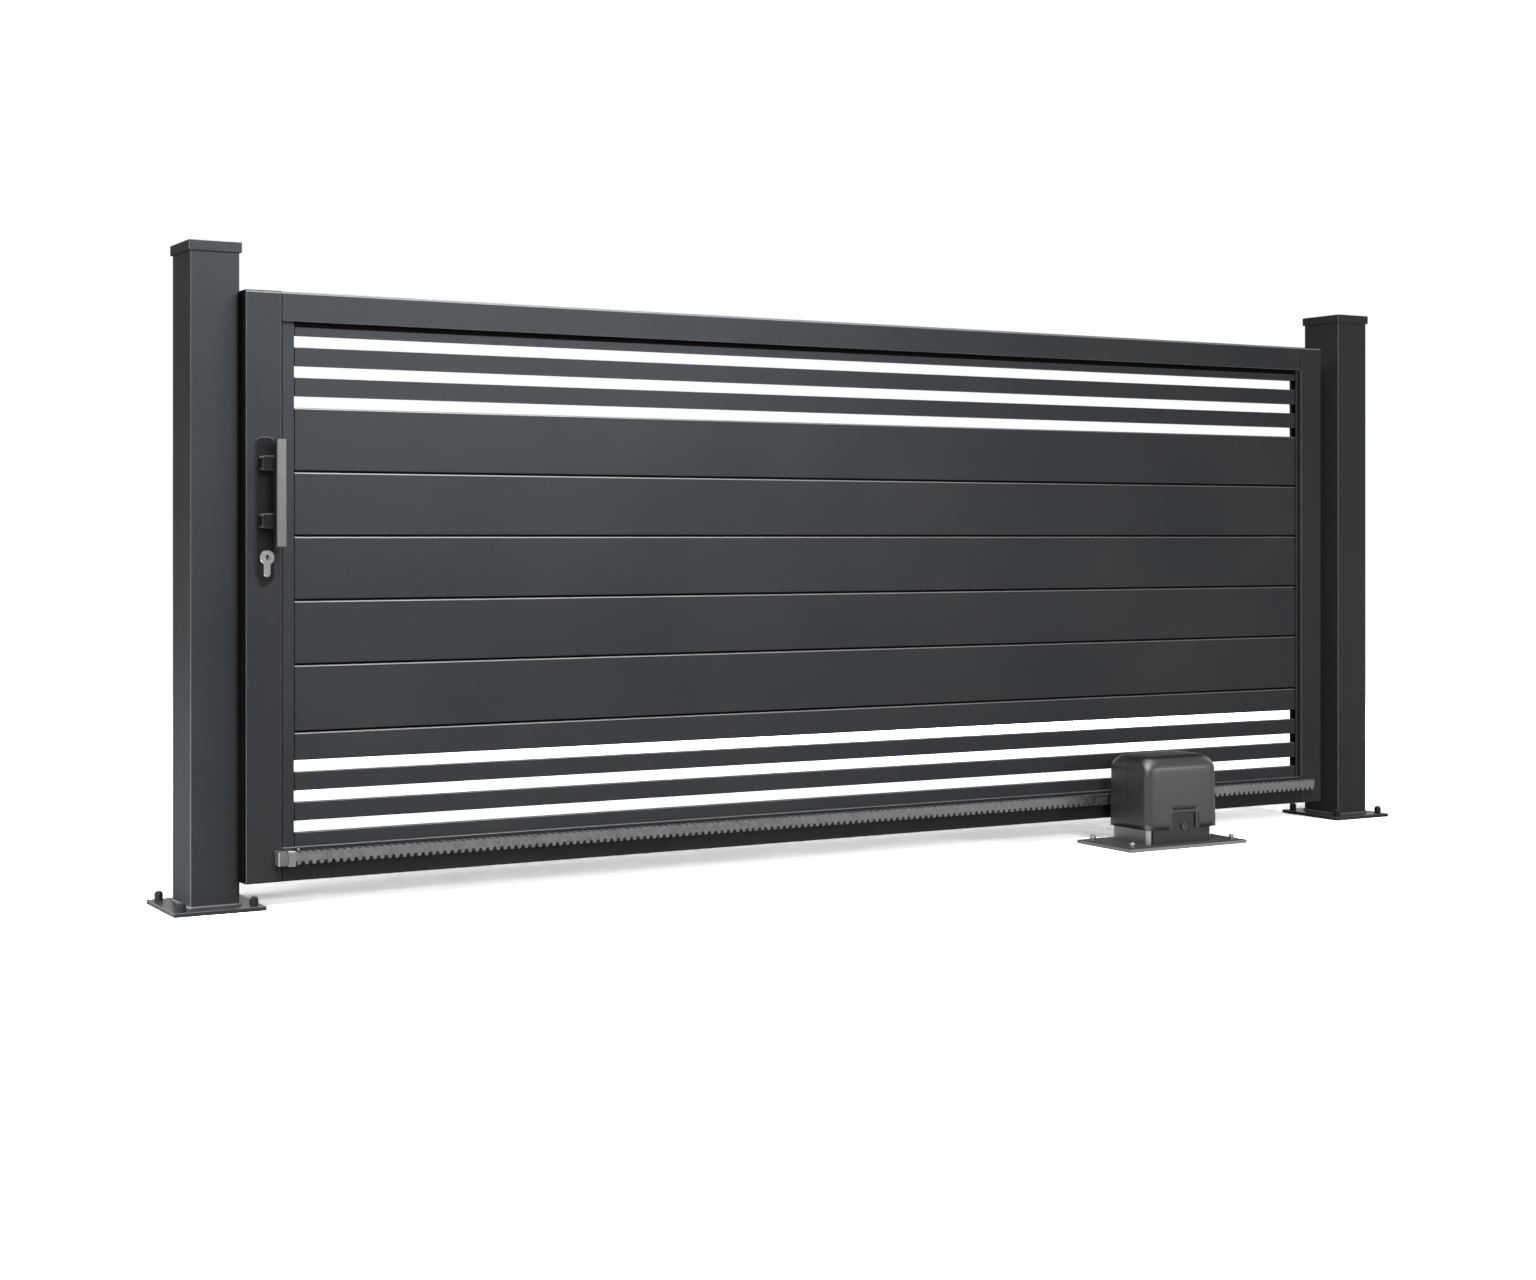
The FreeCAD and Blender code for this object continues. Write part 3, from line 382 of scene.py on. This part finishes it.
# Painted shade where the ends of members meet
ends = [(0, lipLeft + 1.2 * mm, 1.4 * mm), (0, lipRight - 0.8 * mm, 1.2 * mm)]
railEnds = [(0, innerLeft + 0.8 * mm, 1.2 * mm), (0, innerRight - 0.8 * mm, 1.2 * mm)]
channelEnds = [(0, innerLeft + 2.8 * mm, 2.8 * mm), (0, innerRight - 1.0 * mm, 1.5 * mm)]
# Painted shadow of the top rail on the header strip
railShadow = [(2, stripTop - 6.0 * mm, 6.5 * mm)]
# Painted highlight along the leaf's top edge and along the post plates' top edge
leafTopHighlight = [(2, leafTop - 2.5 * mm, 2.5 * mm)]
plateTopHighlight = [(2, plateTop - 0.3 * mm, 0.5 * mm)]

common = powderLook["anthracite"]
memberCoats = {  # words in the nodes' names, colours, painted shade lines and painted highlight lines
    "Board": (("board",), common, ends + seams, ()),
    "Slat": (("slats", "sill_strip"), common, ends, ()),
    "Header": (("header_strip",), common, ends + railShadow, ()),
    "Channel": (("channel",), common, channelEnds, ()),
    "TopRail": (("top_rail",), common, railEnds, leafTopHighlight),
    "BottomRail": (("bottom_rail",), powderLook["low"], railEnds, ()),
    "Stile": (("left_stile", "right_stile"), powderLook["upright"], (), leafTopHighlight),
}
for member, (words, colours, joints, highlightLines) in memberCoats.items():
    coat = powderCoat("anthracite" + member + "Coat", colours, joints=joints, highlightLines=highlightLines)
    ownFinish.update({name: coat for name in nodes if any(word in name for word in words)})
plateCoat = powderCoat("anthracitePlateCoat", common, 0.05, 0.22, highlightLines=plateTopHighlight, roughness=(0.26, 0.36))
ownFinish.update({side + "_base_plate": plateCoat for side in ("left", "right")})
weldCoat = powderCoat("anthraciteWeldCoat", common, 0.05, 0.55)

for part in frame["record"]["subparts"]:
    mesh = nodes[part["node"]].data
    mesh.materials.clear()
    mesh.materials.append(ownFinish.get(part["node"], finishes[part["material_slot"]]))


# Grids of points: a shape is one or more grids of rows by columns by 3. Four neighbours make a
# face, the columns close into a ring, and points that meet at a pole are merged.

mergeDistance = 0.005 * mm


def gridPiece(name, grids, slot, body, replaced=(), sharp=38, finish=None):
    # Face of row r and column c: points (r, c), (r, c + 1), (r + 1, c + 1) and (r + 1, c)
    points, faces, first = [], [], 0
    for grid in grids:
        rows, columns = grid.shape[:2]
        index = first + np.arange(rows * columns).reshape(rows, columns)
        beside = np.roll(index, -1, axis=1)
        faces.append(np.stack((index[:-1], beside[:-1], beside[1:], index[1:]), axis=-1).reshape(-1, 4))
        points.append(grid.reshape(-1, 3))
        first += rows * columns
    mesh = bpy.data.meshes.new(name)
    mesh.from_pydata(np.concatenate(points).tolist(), [], np.concatenate(faces).tolist())
    work = bmesh.new()
    work.from_mesh(mesh)
    bmesh.ops.remove_doubles(work, verts=work.verts, dist=mergeDistance)
    bmesh.ops.recalc_face_normals(work, faces=work.faces)
    work.to_mesh(mesh)
    work.free()
    mesh.shade_smooth()
    mesh.set_sharp_from_angle(angle=math.radians(sharp))
    mesh.materials.append(finish or finishes[slot])
    piece = bpy.data.objects.new(name, mesh)
    bpy.context.scene.collection.objects.link(piece)
    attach(piece, body)
    if replaced:
        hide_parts(*replaced)
    return piece


def turned(profile, place, axis=(0, 0, 1), sides=48):
    # Spun profile, rows of radius, height and width across flats: point = place + height along the
    # axis + radius x (cos t, sin t), the radius cut back to flats / 2 / cos(t folded into 30 degrees)
    radius, height, flats = np.array(profile).T[:, :, None]
    t = np.linspace(0, 2 * np.pi, sides, endpoint=False)
    folded = (t + np.pi / 6) % (np.pi / 3) - np.pi / 6
    reach = np.minimum(radius, flats / 2 / np.cos(folded))
    axis = np.array(axis, float)
    sideways = np.array((1.0, 0, 0))
    upright = np.cross(axis, sideways)
    spokes = np.cos(t)[:, None] * sideways + np.sin(t)[:, None] * upright
    return np.array(place) + height[:, :, None] * axis + reach[:, :, None] * spokes


def carried(path, sideways, upward, profile):
    # Profile carried along a path: point = path + u x sideways + v x upward at each step
    u, v = np.array(profile).T[:, None, :, None]
    return path[:, None] + u * sideways[:, None] + v * upward[:, None]


def roundedLoop(halfWidth, halfDepth, corner, steps=8):
    # Closed loop round a rectangle, and its outward directions: a quarter circle at each corner
    t = np.linspace(0, np.pi / 2, steps)
    turns = np.concatenate([t + quarter * np.pi / 2 for quarter in range(4)])
    outward = np.stack((np.cos(turns), np.sin(turns)), axis=-1)
    signs = np.repeat([(1, 1), (-1, 1), (-1, -1), (1, -1)], steps, axis=0)
    centres = signs * (halfWidth - corner, halfDepth - corner)
    return centres + corner * outward, outward


# Domed nuts: a washer, a hexagon with turned-down corners and a domed cap. Black ones hold the
# post plates and zinc-plated ones hold the drive plate.

anyWidth = 1.0  # a width across flats that cuts nothing

postNut = {
    "node": "post_anchor_bolts", "plate": "left_base_plate", "slot": "black_coat",
    "finish": powderCoat("blackNutCoat", powderLook["black"], 0.10, 0.15),
    "washer": 11 * mm, "washerHeight": 2 * mm, "flats": 18 * mm, "hexagon": 15.5 * mm,
    "chamfer": 1.2 * mm, "dome": (8.8 * mm, 5.2 * mm),  # the dome's radius and height
    "places": [(x, y) for x in (-0.086, 0.086, 3.539, 3.711) for y in (-0.0985, 0.0985)],
}
driveNut = {
    "node": "drive_anchor_bolts", "plate": "drive_base_plate", "slot": "bolt_steel", "finish": None,
    "washer": 8.5 * mm, "washerHeight": 1.5 * mm, "flats": 14 * mm, "hexagon": 10.5 * mm,
    "chamfer": 1.2 * mm, "dome": (6.8 * mm, 4.2 * mm),
    "places": [(x, y) for x in (2.528, 2.892) for y in (-0.342, -0.165)],
}


def nutProfile(nut):
    # Washer, hexagon and dome, a quarter of an ellipse: radius x cos a, height x sin a
    washer, top, flats, chamfer = nut["washer"], nut["washerHeight"], nut["flats"], nut["chamfer"]
    shoulder = top + nut["hexagon"]
    corner = flats / 2 / math.cos(math.pi / 6)
    rows = [(0, 0, anyWidth), (washer, 0, anyWidth), (washer, 0.75 * top, anyWidth),
            (0.96 * washer, top, anyWidth), (flats / 2, top, anyWidth), (corner, top + chamfer, flats),
            (corner, shoulder - chamfer, flats), (flats / 2, shoulder, anyWidth)]
    wide, tall = nut["dome"]
    quarter = np.linspace(0, np.pi / 2, 12)
    return rows + [(wide * math.cos(a), shoulder + tall * math.sin(a), anyWidth) for a in quarter]


def buildNuts():
    for name, nut in (("postDomedNuts", postNut), ("driveDomedNuts", driveNut)):
        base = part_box(nut["plate"])[1][2]
        grids = [turned(nutProfile(nut), (x, y, base)) for x, y in nut["places"]]
        gridPiece(name, grids, nut["slot"], "base", (nut["node"],), finish=nut["finish"])


# Fillet weld round each post's foot, under the powder coat: a quarter-round bead carried round the
# tube, whose leg is swelled by 1 + ripple x cos(once round for every ripple).

footWeld = {
    "leg": 5 * mm,
    "sunk": 0.1,  # of the leg, inside the tube's wall
    "ripple": 0.14,
    "ripplePitch": 5 * mm,
    "step": 1.25 * mm,
    "corner": 4 * mm,
}


def buildWelds():
    for side in ("left", "right"):
        low, high = [np.array(corner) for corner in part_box(side + "_post")]
        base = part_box(side + "_base_plate")[1][2]
        half = (high - low)[:2] / 2
        loop, outward = roundedLoop(half[0], half[1], footWeld["corner"])
        loop = np.vstack((loop, loop[:1]))
        outward = np.vstack((outward, outward[:1]))
        along = np.concatenate(([0], np.cumsum(np.linalg.norm(np.diff(loop, axis=0), axis=1))))
        even = np.linspace(0, along[-1], round(along[-1] / footWeld["step"]))
        middle = (low + high)[:2] / 2
        path = [np.interp(even, along, loop[:, i] + middle[i]) for i in range(2)]
        path = np.stack(path + [base + 0 * even], -1)
        away = [np.interp(even, along, outward[:, i]) for i in range(2)]
        away = np.stack(away + [0 * even], -1)
        away /= np.linalg.norm(away, axis=1)[:, None]
        ripples = round(along[-1] / footWeld["ripplePitch"])
        size = footWeld["leg"] * (1 + footWeld["ripple"] * np.cos(2 * np.pi * ripples * even / along[-1]))
        t = np.linspace(np.pi / 2, 0, 8)
        inside = -footWeld["sunk"]
        profile = [(inside, 0.0), (inside, 1.0)] + list(zip(np.cos(t), np.sin(t)))
        upward = np.array((0, 0, 1.0)) * size[:, None]
        bead = carried(path, away * size[:, None], upward, profile)
        gridPiece(side + "FootWeld", [bead], "powder_coat", "base", sharp=60, finish=weldCoat)


# Drive hood: one moulded shell. In plan it is a superellipse, whose exponent falls towards the top,
# so its corners grow rounder. The wall leans in a little, turns over in a quarter circle, and ends
# in a slightly crowned top. The lower rim rises over the panel in front and the gear case behind.

hood = {
    "exponents": (10.5, 6.5, 3.5),  # at the rim, at the top of the round, at the middle of the top
    "lean": 3 * mm,
    "round": 40 * mm,
    "crown": 3 * mm,
    "wall": 3 * mm,
    "column": 2.5 * mm,
    "fineSteps": 6000,
    "panelArch": (2.718, 108 * mm, 55 * mm, 15 * mm),  # centre x, width, height, corner
    "caseArch": (2.714, 120.6 * mm, 68.3 * mm, 14.3 * mm),
}

nearlyNone = 1e-6  # share of a ring that merges to a pole


def archRise(x, centre, width, height, corner):
    # Height of an opening with round upper corners: flat, then quarter circles down to upright
    # sides, and 0 outside
    out = np.abs(x - centre)
    bend = np.clip(out - (width / 2 - corner), 0, corner)
    return np.where(out <= width / 2, height - corner + np.sqrt(corner ** 2 - bend ** 2), 0.0)


def superellipse(angles, a, b, exponent):
    # Distance from the centre: (|cos / a| ^ n + |sin / b| ^ n) ^ (-1 / n)
    acrossX, acrossY = np.abs(np.cos(angles) / a), np.abs(np.sin(angles) / b)
    reach = (acrossX ** exponent + acrossY ** exponent) ** (-1 / exponent)
    return reach * np.cos(angles), reach * np.sin(angles)


def hoodAngles(a, b, centreX):
    # Columns at equal steps round the rim, and one at each point of the two arches
    exponent = hood["exponents"][0]
    dense = np.linspace(-np.pi, np.pi, hood["fineSteps"])
    x, y = superellipse(dense, a, b, exponent)
    along = np.concatenate(([0], np.cumsum(np.hypot(np.diff(x), np.diff(y)))))
    steps = int(along[-1] / hood["column"])
    angles = [np.interp(np.linspace(0, along[-1], steps, endpoint=False), along, dense)]
    for side, (centre, width, height, corner) in ((-1, hood["panelArch"]), (1, hood["caseArch"])):
        bend = width / 2 - corner + corner * np.sin(np.linspace(0, np.pi / 2, 9))
        bend = np.append(bend, width / 2 + 0.03 * mm)
        x = np.concatenate((-bend, bend)) + centre - centreX
        angles.append(np.arctan2(side * b * (1 - np.abs(x / a) ** exponent) ** (1 / exponent), x))
    return np.unique(np.concatenate(angles))


def buildHood():
    low, high = [np.array(corner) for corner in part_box("drive_hood")]
    centre = (low + high) / 2
    a, b = (high - low)[:2] / 2
    rimN, roundN, topN = hood["exponents"]
    angles = hoodAngles(a, b, centre[0])
    x, y = superellipse(angles, a, b, rimN)
    front, back = [archRise(x + centre[0], *hood[arch]) for arch in ("panelArch", "caseArch")]
    rim = low[2] + np.where(y < 0, front, back)
    shoulder = high[2] - hood["crown"] - hood["round"]

    def ring(inset, exponent, level, share=1.0):
        # The front, left and right sides lean in with height, the back stays upright
        lean = hood["lean"] * (level - low[2]) / (high[2] - low[2])
        halfX, halfY = (a - inset - lean) * share, (b - inset - lean / 2) * share
        ringX, ringY = superellipse(angles, halfX, halfY, exponent)
        return np.stack((centre[0] + ringX, centre[1] + lean / 2 + ringY, level + 0 * angles), axis=-1)

    rows = [ring(0.0, rimN, rim + (shoulder - rim) * share) for share in np.linspace(0, 1, 10)]
    for t in np.linspace(0, np.pi / 2, 15)[1:]:
        exponent = rimN + (roundN - rimN) * t / (np.pi / 2)
        inset, rise = hood["round"] * (1 - math.cos(t)), hood["round"] * math.sin(t)
        rows.append(ring(inset, exponent, shoulder + rise))
    for share in np.linspace(1, 0, 12)[1:]:
        level = high[2] - hood["crown"] * share ** 2
        exponent = topN + (roundN - topN) * share
        rows.append(ring(hood["round"], exponent, level, max(share, nearlyNone)))
    grids = [np.array(rows)]
    shell = gridPiece("driveHood", grids, "hood_plastic", "base", ("drive_hood",), sharp=50)
    wall = shell.modifiers.new("wall", "SOLIDIFY")
    wall.thickness = hood["wall"]
    wall.offset = -1.0


# Frame of the release panel: a flat moulded bead, carried up, over and down inside the hood's arch:
# point = path + u x (away from the arch's centre) + v x (0, 1, 0).

panelFrame = {
    "gap": 1 * mm,
    "width": 9 * mm,
    "face": -0.3395,  # y of its face and of its back
    "back": -0.3325,
    "edge": 1 * mm,
    "steps": 10,
}


def buildPanelFrame():
    centre, width, height, corner = hood["panelArch"]
    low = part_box("drive_hood")[0][2]
    inset = panelFrame["gap"] + panelFrame["width"] / 2
    half, top, bend = width / 2 - inset, low + height - inset, corner - inset
    t = np.linspace(0, np.pi / 2, panelFrame["steps"])
    x = half - bend + bend * np.cos(t)
    z = top - bend + bend * np.sin(t)
    path = np.array([(half, low)] + list(zip(x, z)) + list(zip(-x[::-1], z[::-1])) + [(-half, low)])
    turnsX = np.concatenate(([1.0], np.cos(t), -np.cos(t[::-1]), [-1.0]))
    turnsZ = np.concatenate(([0.0], np.sin(t), np.sin(t[::-1]), [0.0]))
    points = np.stack((centre + path[:, 0], 0 * path[:, 0], path[:, 1]), axis=-1)
    sideways = np.stack((turnsX, 0 * turnsX, turnsZ), axis=-1)
    depth = np.broadcast_to((0.0, 1.0, 0.0), points.shape)
    out, edge = panelFrame["width"] / 2, panelFrame["edge"]
    face, back = panelFrame["face"], panelFrame["back"]
    left, right = [(-out, back), (-out, face + edge)], [(out, face + edge), (out, back)]
    profile = left + [(-out + edge, face), (out - edge, face)] + right
    bead = carried(points, sideways, depth, profile)
    ends = [np.broadcast_to(row.mean(axis=0), row.shape)[None] for row in (bead[0], bead[-1])]
    grid = np.concatenate((ends[0], bead, ends[1]))
    gridPiece("releasePanelFrame", [grid], "hood_plastic", "base")


# Lock plugs: one at each side of the leaf. The face is a polar grid, (radius cos t, radius sin t),
# pushed in wherever it lies inside the keyway, which is a round hole with a slot below it.

lockPlug = {
    "radius": 8.4 * mm,
    "chamfer": 0.8 * mm,
    "keyHole": 2.9 * mm,
    "holeRise": 3.0 * mm,
    "slot": 1.5 * mm,
    "slotLength": 8 * mm,
    "keyDepth": 3.5 * mm,
    "wall": 0.25 * mm,  # width over which the keyway's wall falls
    "shadeHalf": 1.4 * mm,
    "stem": 4.6 * mm,
    "sides": 96,
    "rings": 36,
}


def buildLockPlugs():
    low, high = [np.array(corner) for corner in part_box("lock_plugs")]
    x0, z0 = (low[0] + high[0]) / 2, (low[2] + high[2]) / 2
    t = np.linspace(0, 2 * np.pi, lockPlug["sides"], endpoint=False)
    radius, chamfer, halfSlot = lockPlug["radius"], lockPlug["chamfer"], lockPlug["slotLength"] / 2
    radii = np.append(radius, np.linspace(radius - chamfer, 0, lockPlug["rings"]))[:, None]
    u, w = radii * np.cos(t), radii * np.sin(t)
    below = w - lockPlug["holeRise"]
    hole = np.hypot(u, below) - lockPlug["keyHole"]
    slot = np.maximum(np.abs(u) - lockPlug["slot"], np.abs(below + halfSlot) - halfSlot)
    inside = np.clip(0.5 - np.minimum(hole, slot) / lockPlug["wall"], 0, 1)
    rise = np.where(radii < radius, 0.0, -chamfer) - lockPlug["keyDepth"] * inside
    grids, keywayShade = [], []
    for outer, side in ((low[1], -1), (high[1], 1)):
        inner = outer - side * lockPlug["stem"]
        face = np.stack((x0 + u, outer + side * rise, z0 + w), axis=-1)
        stem = np.stack((x0 + u[0], inner + 0 * t, z0 + w[0]), axis=-1)
        bottom = np.stack((x0 + 0 * t, inner + 0 * t, z0 + 0 * t), axis=-1)
        grids.append(np.concatenate((bottom[None], stem[None], face)))
        # Painted shade at the bottom of each keyway
        keywayShade.append((1, outer - side * lockPlug["keyDepth"], lockPlug["shadeHalf"]))
    gridPiece("lockPlugFaces", grids, "lock_nickel", "leaf", ("lock_plugs",), sharp=30,
              finish=bareMetal("plugNickel", keywayShade))


# Pan-head screw over the end of the rack: a turned head, whose edge is a quarter of an ellipse, with
# a hexagon socket.

panScrew = {
    "place": (0.186, 0.138),  # x and z
    "radius": 4.2 * mm,
    "round": 1.5 * mm,
    "height": 2.6 * mm,
    "socket": 3 * mm,
    "socketDepth": 1.4 * mm,
    "drillDepth": 1.68 * mm,  # the point of the socket
    "sides": 36,
}


def buildScrew():
    x, z = panScrew["place"]
    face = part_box("bottom_rail")[0][1]
    r, h, bend, socket = panScrew["radius"], panScrew["height"], panScrew["round"], panScrew["socket"]
    t = np.linspace(0, np.pi / 2, 7)[:-1]
    rows = [(0, 0, anyWidth)]
    rows += [(r - bend + bend * math.cos(a), h * math.sin(a), anyWidth) for a in t]
    rows += [(0.62 * r, h, anyWidth), (r, h, socket), (r, h - panScrew["socketDepth"], socket),
             (0, h - panScrew["drillDepth"], anyWidth)]
    head = turned(rows, (x, face, z), (0, -1, 0), panScrew["sides"])
    gridPiece("rackEndScrew", [head], "bolt_steel", "leaf")


buildNuts()
buildWelds()
buildHood()
buildPanelFrame()
buildLockPlugs()
buildScrew()
print("small fittings and hood built")


# Studio: pale floor that the camera sees as white apart from its shadows, white surround, a strip
# lamp high over the left end, a soft sun for the floor, and fills from the front, sides and back.

studio = {
    "floorHalf": 40.0,
    "floorDrop": 0.4 * mm,
    "floorColour": "#A8A8A6",  # what lights the object
    "floorSeenAs": 5.5,  # what the camera sees, so that lit floor is white
    "floorMirrored": 0.75,  # what metal and plastic mirror
    "ambient": 0.08,
    "sunStrength": 0.38,
    "sunSpread": 14.0,  # degrees, as the turns below
    "sunTurn": (20.0, 0.0, -28.0),
    "cameraPlace": (-1.5785, -5.3898, 0.8814),
    "cameraTurn": -30.1,
    "lens": 53.73,  # millimetres
    "shiftY": -0.0673,
}

lamps = {  # place, aimed at, width and height, power in watts
    "topStrip": ((0.75, -1.1, 2.25), (0.75, 0.0, 1.2), (1.8, 0.4), 29.0),
    "topLeft": ((0.1, -1.8, 2.0), (0.0, 0.0, 1.25), (0.4, 0.4), 11.0),
    "frontFill": ((1.2, -6.5, 2.4), (1.9, 0.0, 0.7), (2.0, 1.0), 106.0),
    "hoodGlint": ((0.2, -3.1, 2.8), (2.6, -0.3, 0.25), (0.8, 0.8), 27.0),
    "rightLow": ((4.3, -2.7, 0.6), (2.7, -0.3, 0.3), (0.6, 0.5), 17.0),
    "leftLow": ((-0.75, -0.15, 0.14), (-0.06, 0.0, 0.35), (0.3, 0.2), 7.0),
    "backFill": ((4.6, 5.2, 0.8), (1.9, 0.0, 0.75), (3.0, 0.8), 80.0),
}


def lamp(name, place, target, size, power):
    light = bpy.data.lights.new(name, "AREA")
    light.shape = "RECTANGLE"
    light.size, light.size_y = size
    light.energy = power
    holder = bpy.data.objects.new(name, light)
    bpy.context.scene.collection.objects.link(holder)
    holder.visible_camera = False
    holder.visible_glossy = name != "backFill"  # the front view's plate would mirror it
    holder.location = place
    direction = np.array(target) - np.array(place)
    flat = math.hypot(direction[0], direction[1])
    tilt, turn = math.atan2(flat, -direction[2]), math.atan2(-direction[0], direction[1])
    holder.rotation_euler = (tilt, 0, turn)


def raysThatSee(tree):
    # Two factors: 1 for rays from the camera, and 1 for mirrored or refracted rays
    path = addNode(tree, "LightPath")
    mirrored = addNode(tree, "Math", {"operation": "MAXIMUM"},
                       {0: path.outputs["Is Glossy Ray"], 1: path.outputs["Is Transmission Ray"]})
    return path.outputs["Is Camera Ray"], mirrored.outputs[0]


def buildStudio():
    half = studio["floorHalf"]
    low = -studio["floorDrop"]
    floorMesh = bpy.data.meshes.new("floor")
    corners = [(x, y, low) for x, y in ((-half, -half), (half, -half), (half, half), (-half, half))]
    floorMesh.from_pydata(corners, [], [(0, 1, 2, 3)])
    floor = bpy.data.objects.new("floor", floorMesh)
    bpy.context.scene.collection.objects.link(floor)

    paint = bpy.data.materials.new("paleFloor")
    paint.use_nodes = True
    tree = paint.node_tree
    tree.nodes.clear()
    direct, mirrored = raysThatSee(tree)
    real = toLinear(studio["floorColour"])
    shown = (*[studio["floorSeenAs"]] * 3, 1.0)
    colour = addNode(tree, "Mix", {"data_type": "RGBA", 6: real, 7: shown}, {0: direct})
    matt = addNode(tree, "BsdfDiffuse", links={"Color": colour.outputs[2]})
    strength = addNode(tree, "Math", {"operation": "MULTIPLY", 1: studio["floorMirrored"]}, {0: mirrored})
    glow = addNode(tree, "Emission", {"Color": (1, 1, 1, 1)}, {"Strength": strength.outputs[0]})
    both = addNode(tree, "AddShader", links={0: matt.outputs["BSDF"], 1: glow.outputs["Emission"]})
    addNode(tree, "OutputMaterial", links={"Surface": both.outputs["Shader"]})
    floorMesh.materials.append(paint)

    world = bpy.data.worlds.new("surround")
    bpy.context.scene.world = world
    world.use_nodes = True
    tree = world.node_tree
    tree.nodes.clear()
    seen = addNode(tree, "Math", {"operation": "ADD"}, dict(enumerate(raysThatSee(tree))))
    level = addNode(tree, "MapRange", {3: studio["ambient"], 4: 1.0}, {0: seen.outputs[0]})
    surround = addNode(tree, "Background", {"Color": (1, 1, 1, 1)}, {"Strength": level.outputs[0]})
    addNode(tree, "OutputWorld", links={"Surface": surround.outputs["Background"]})

    for name, values in lamps.items():
        lamp(name, *values)
    sunLight = bpy.data.lights.new("softSun", "SUN")
    sunLight.energy = studio["sunStrength"]
    sunLight.angle = math.radians(studio["sunSpread"])
    sun = bpy.data.objects.new("softSun", sunLight)
    bpy.context.scene.collection.objects.link(sun)
    sun.rotation_euler = [math.radians(turn) for turn in studio["sunTurn"]]

    cameraData = bpy.data.cameras.new("camera")
    camera = bpy.data.objects.new("camera", cameraData)
    bpy.context.scene.collection.objects.link(camera)
    camera.location = studio["cameraPlace"]
    camera.rotation_euler = (math.radians(90), 0, math.radians(studio["cameraTurn"]))
    cameraData.sensor_width = 36.0
    cameraData.lens = studio["lens"]
    cameraData.shift_y = studio["shiftY"]
    cameraData.clip_end = 200.0
    bpy.context.scene.camera = camera
    bpy.context.scene.view_settings.view_transform = "Standard"


buildStudio()
print("studio ready")
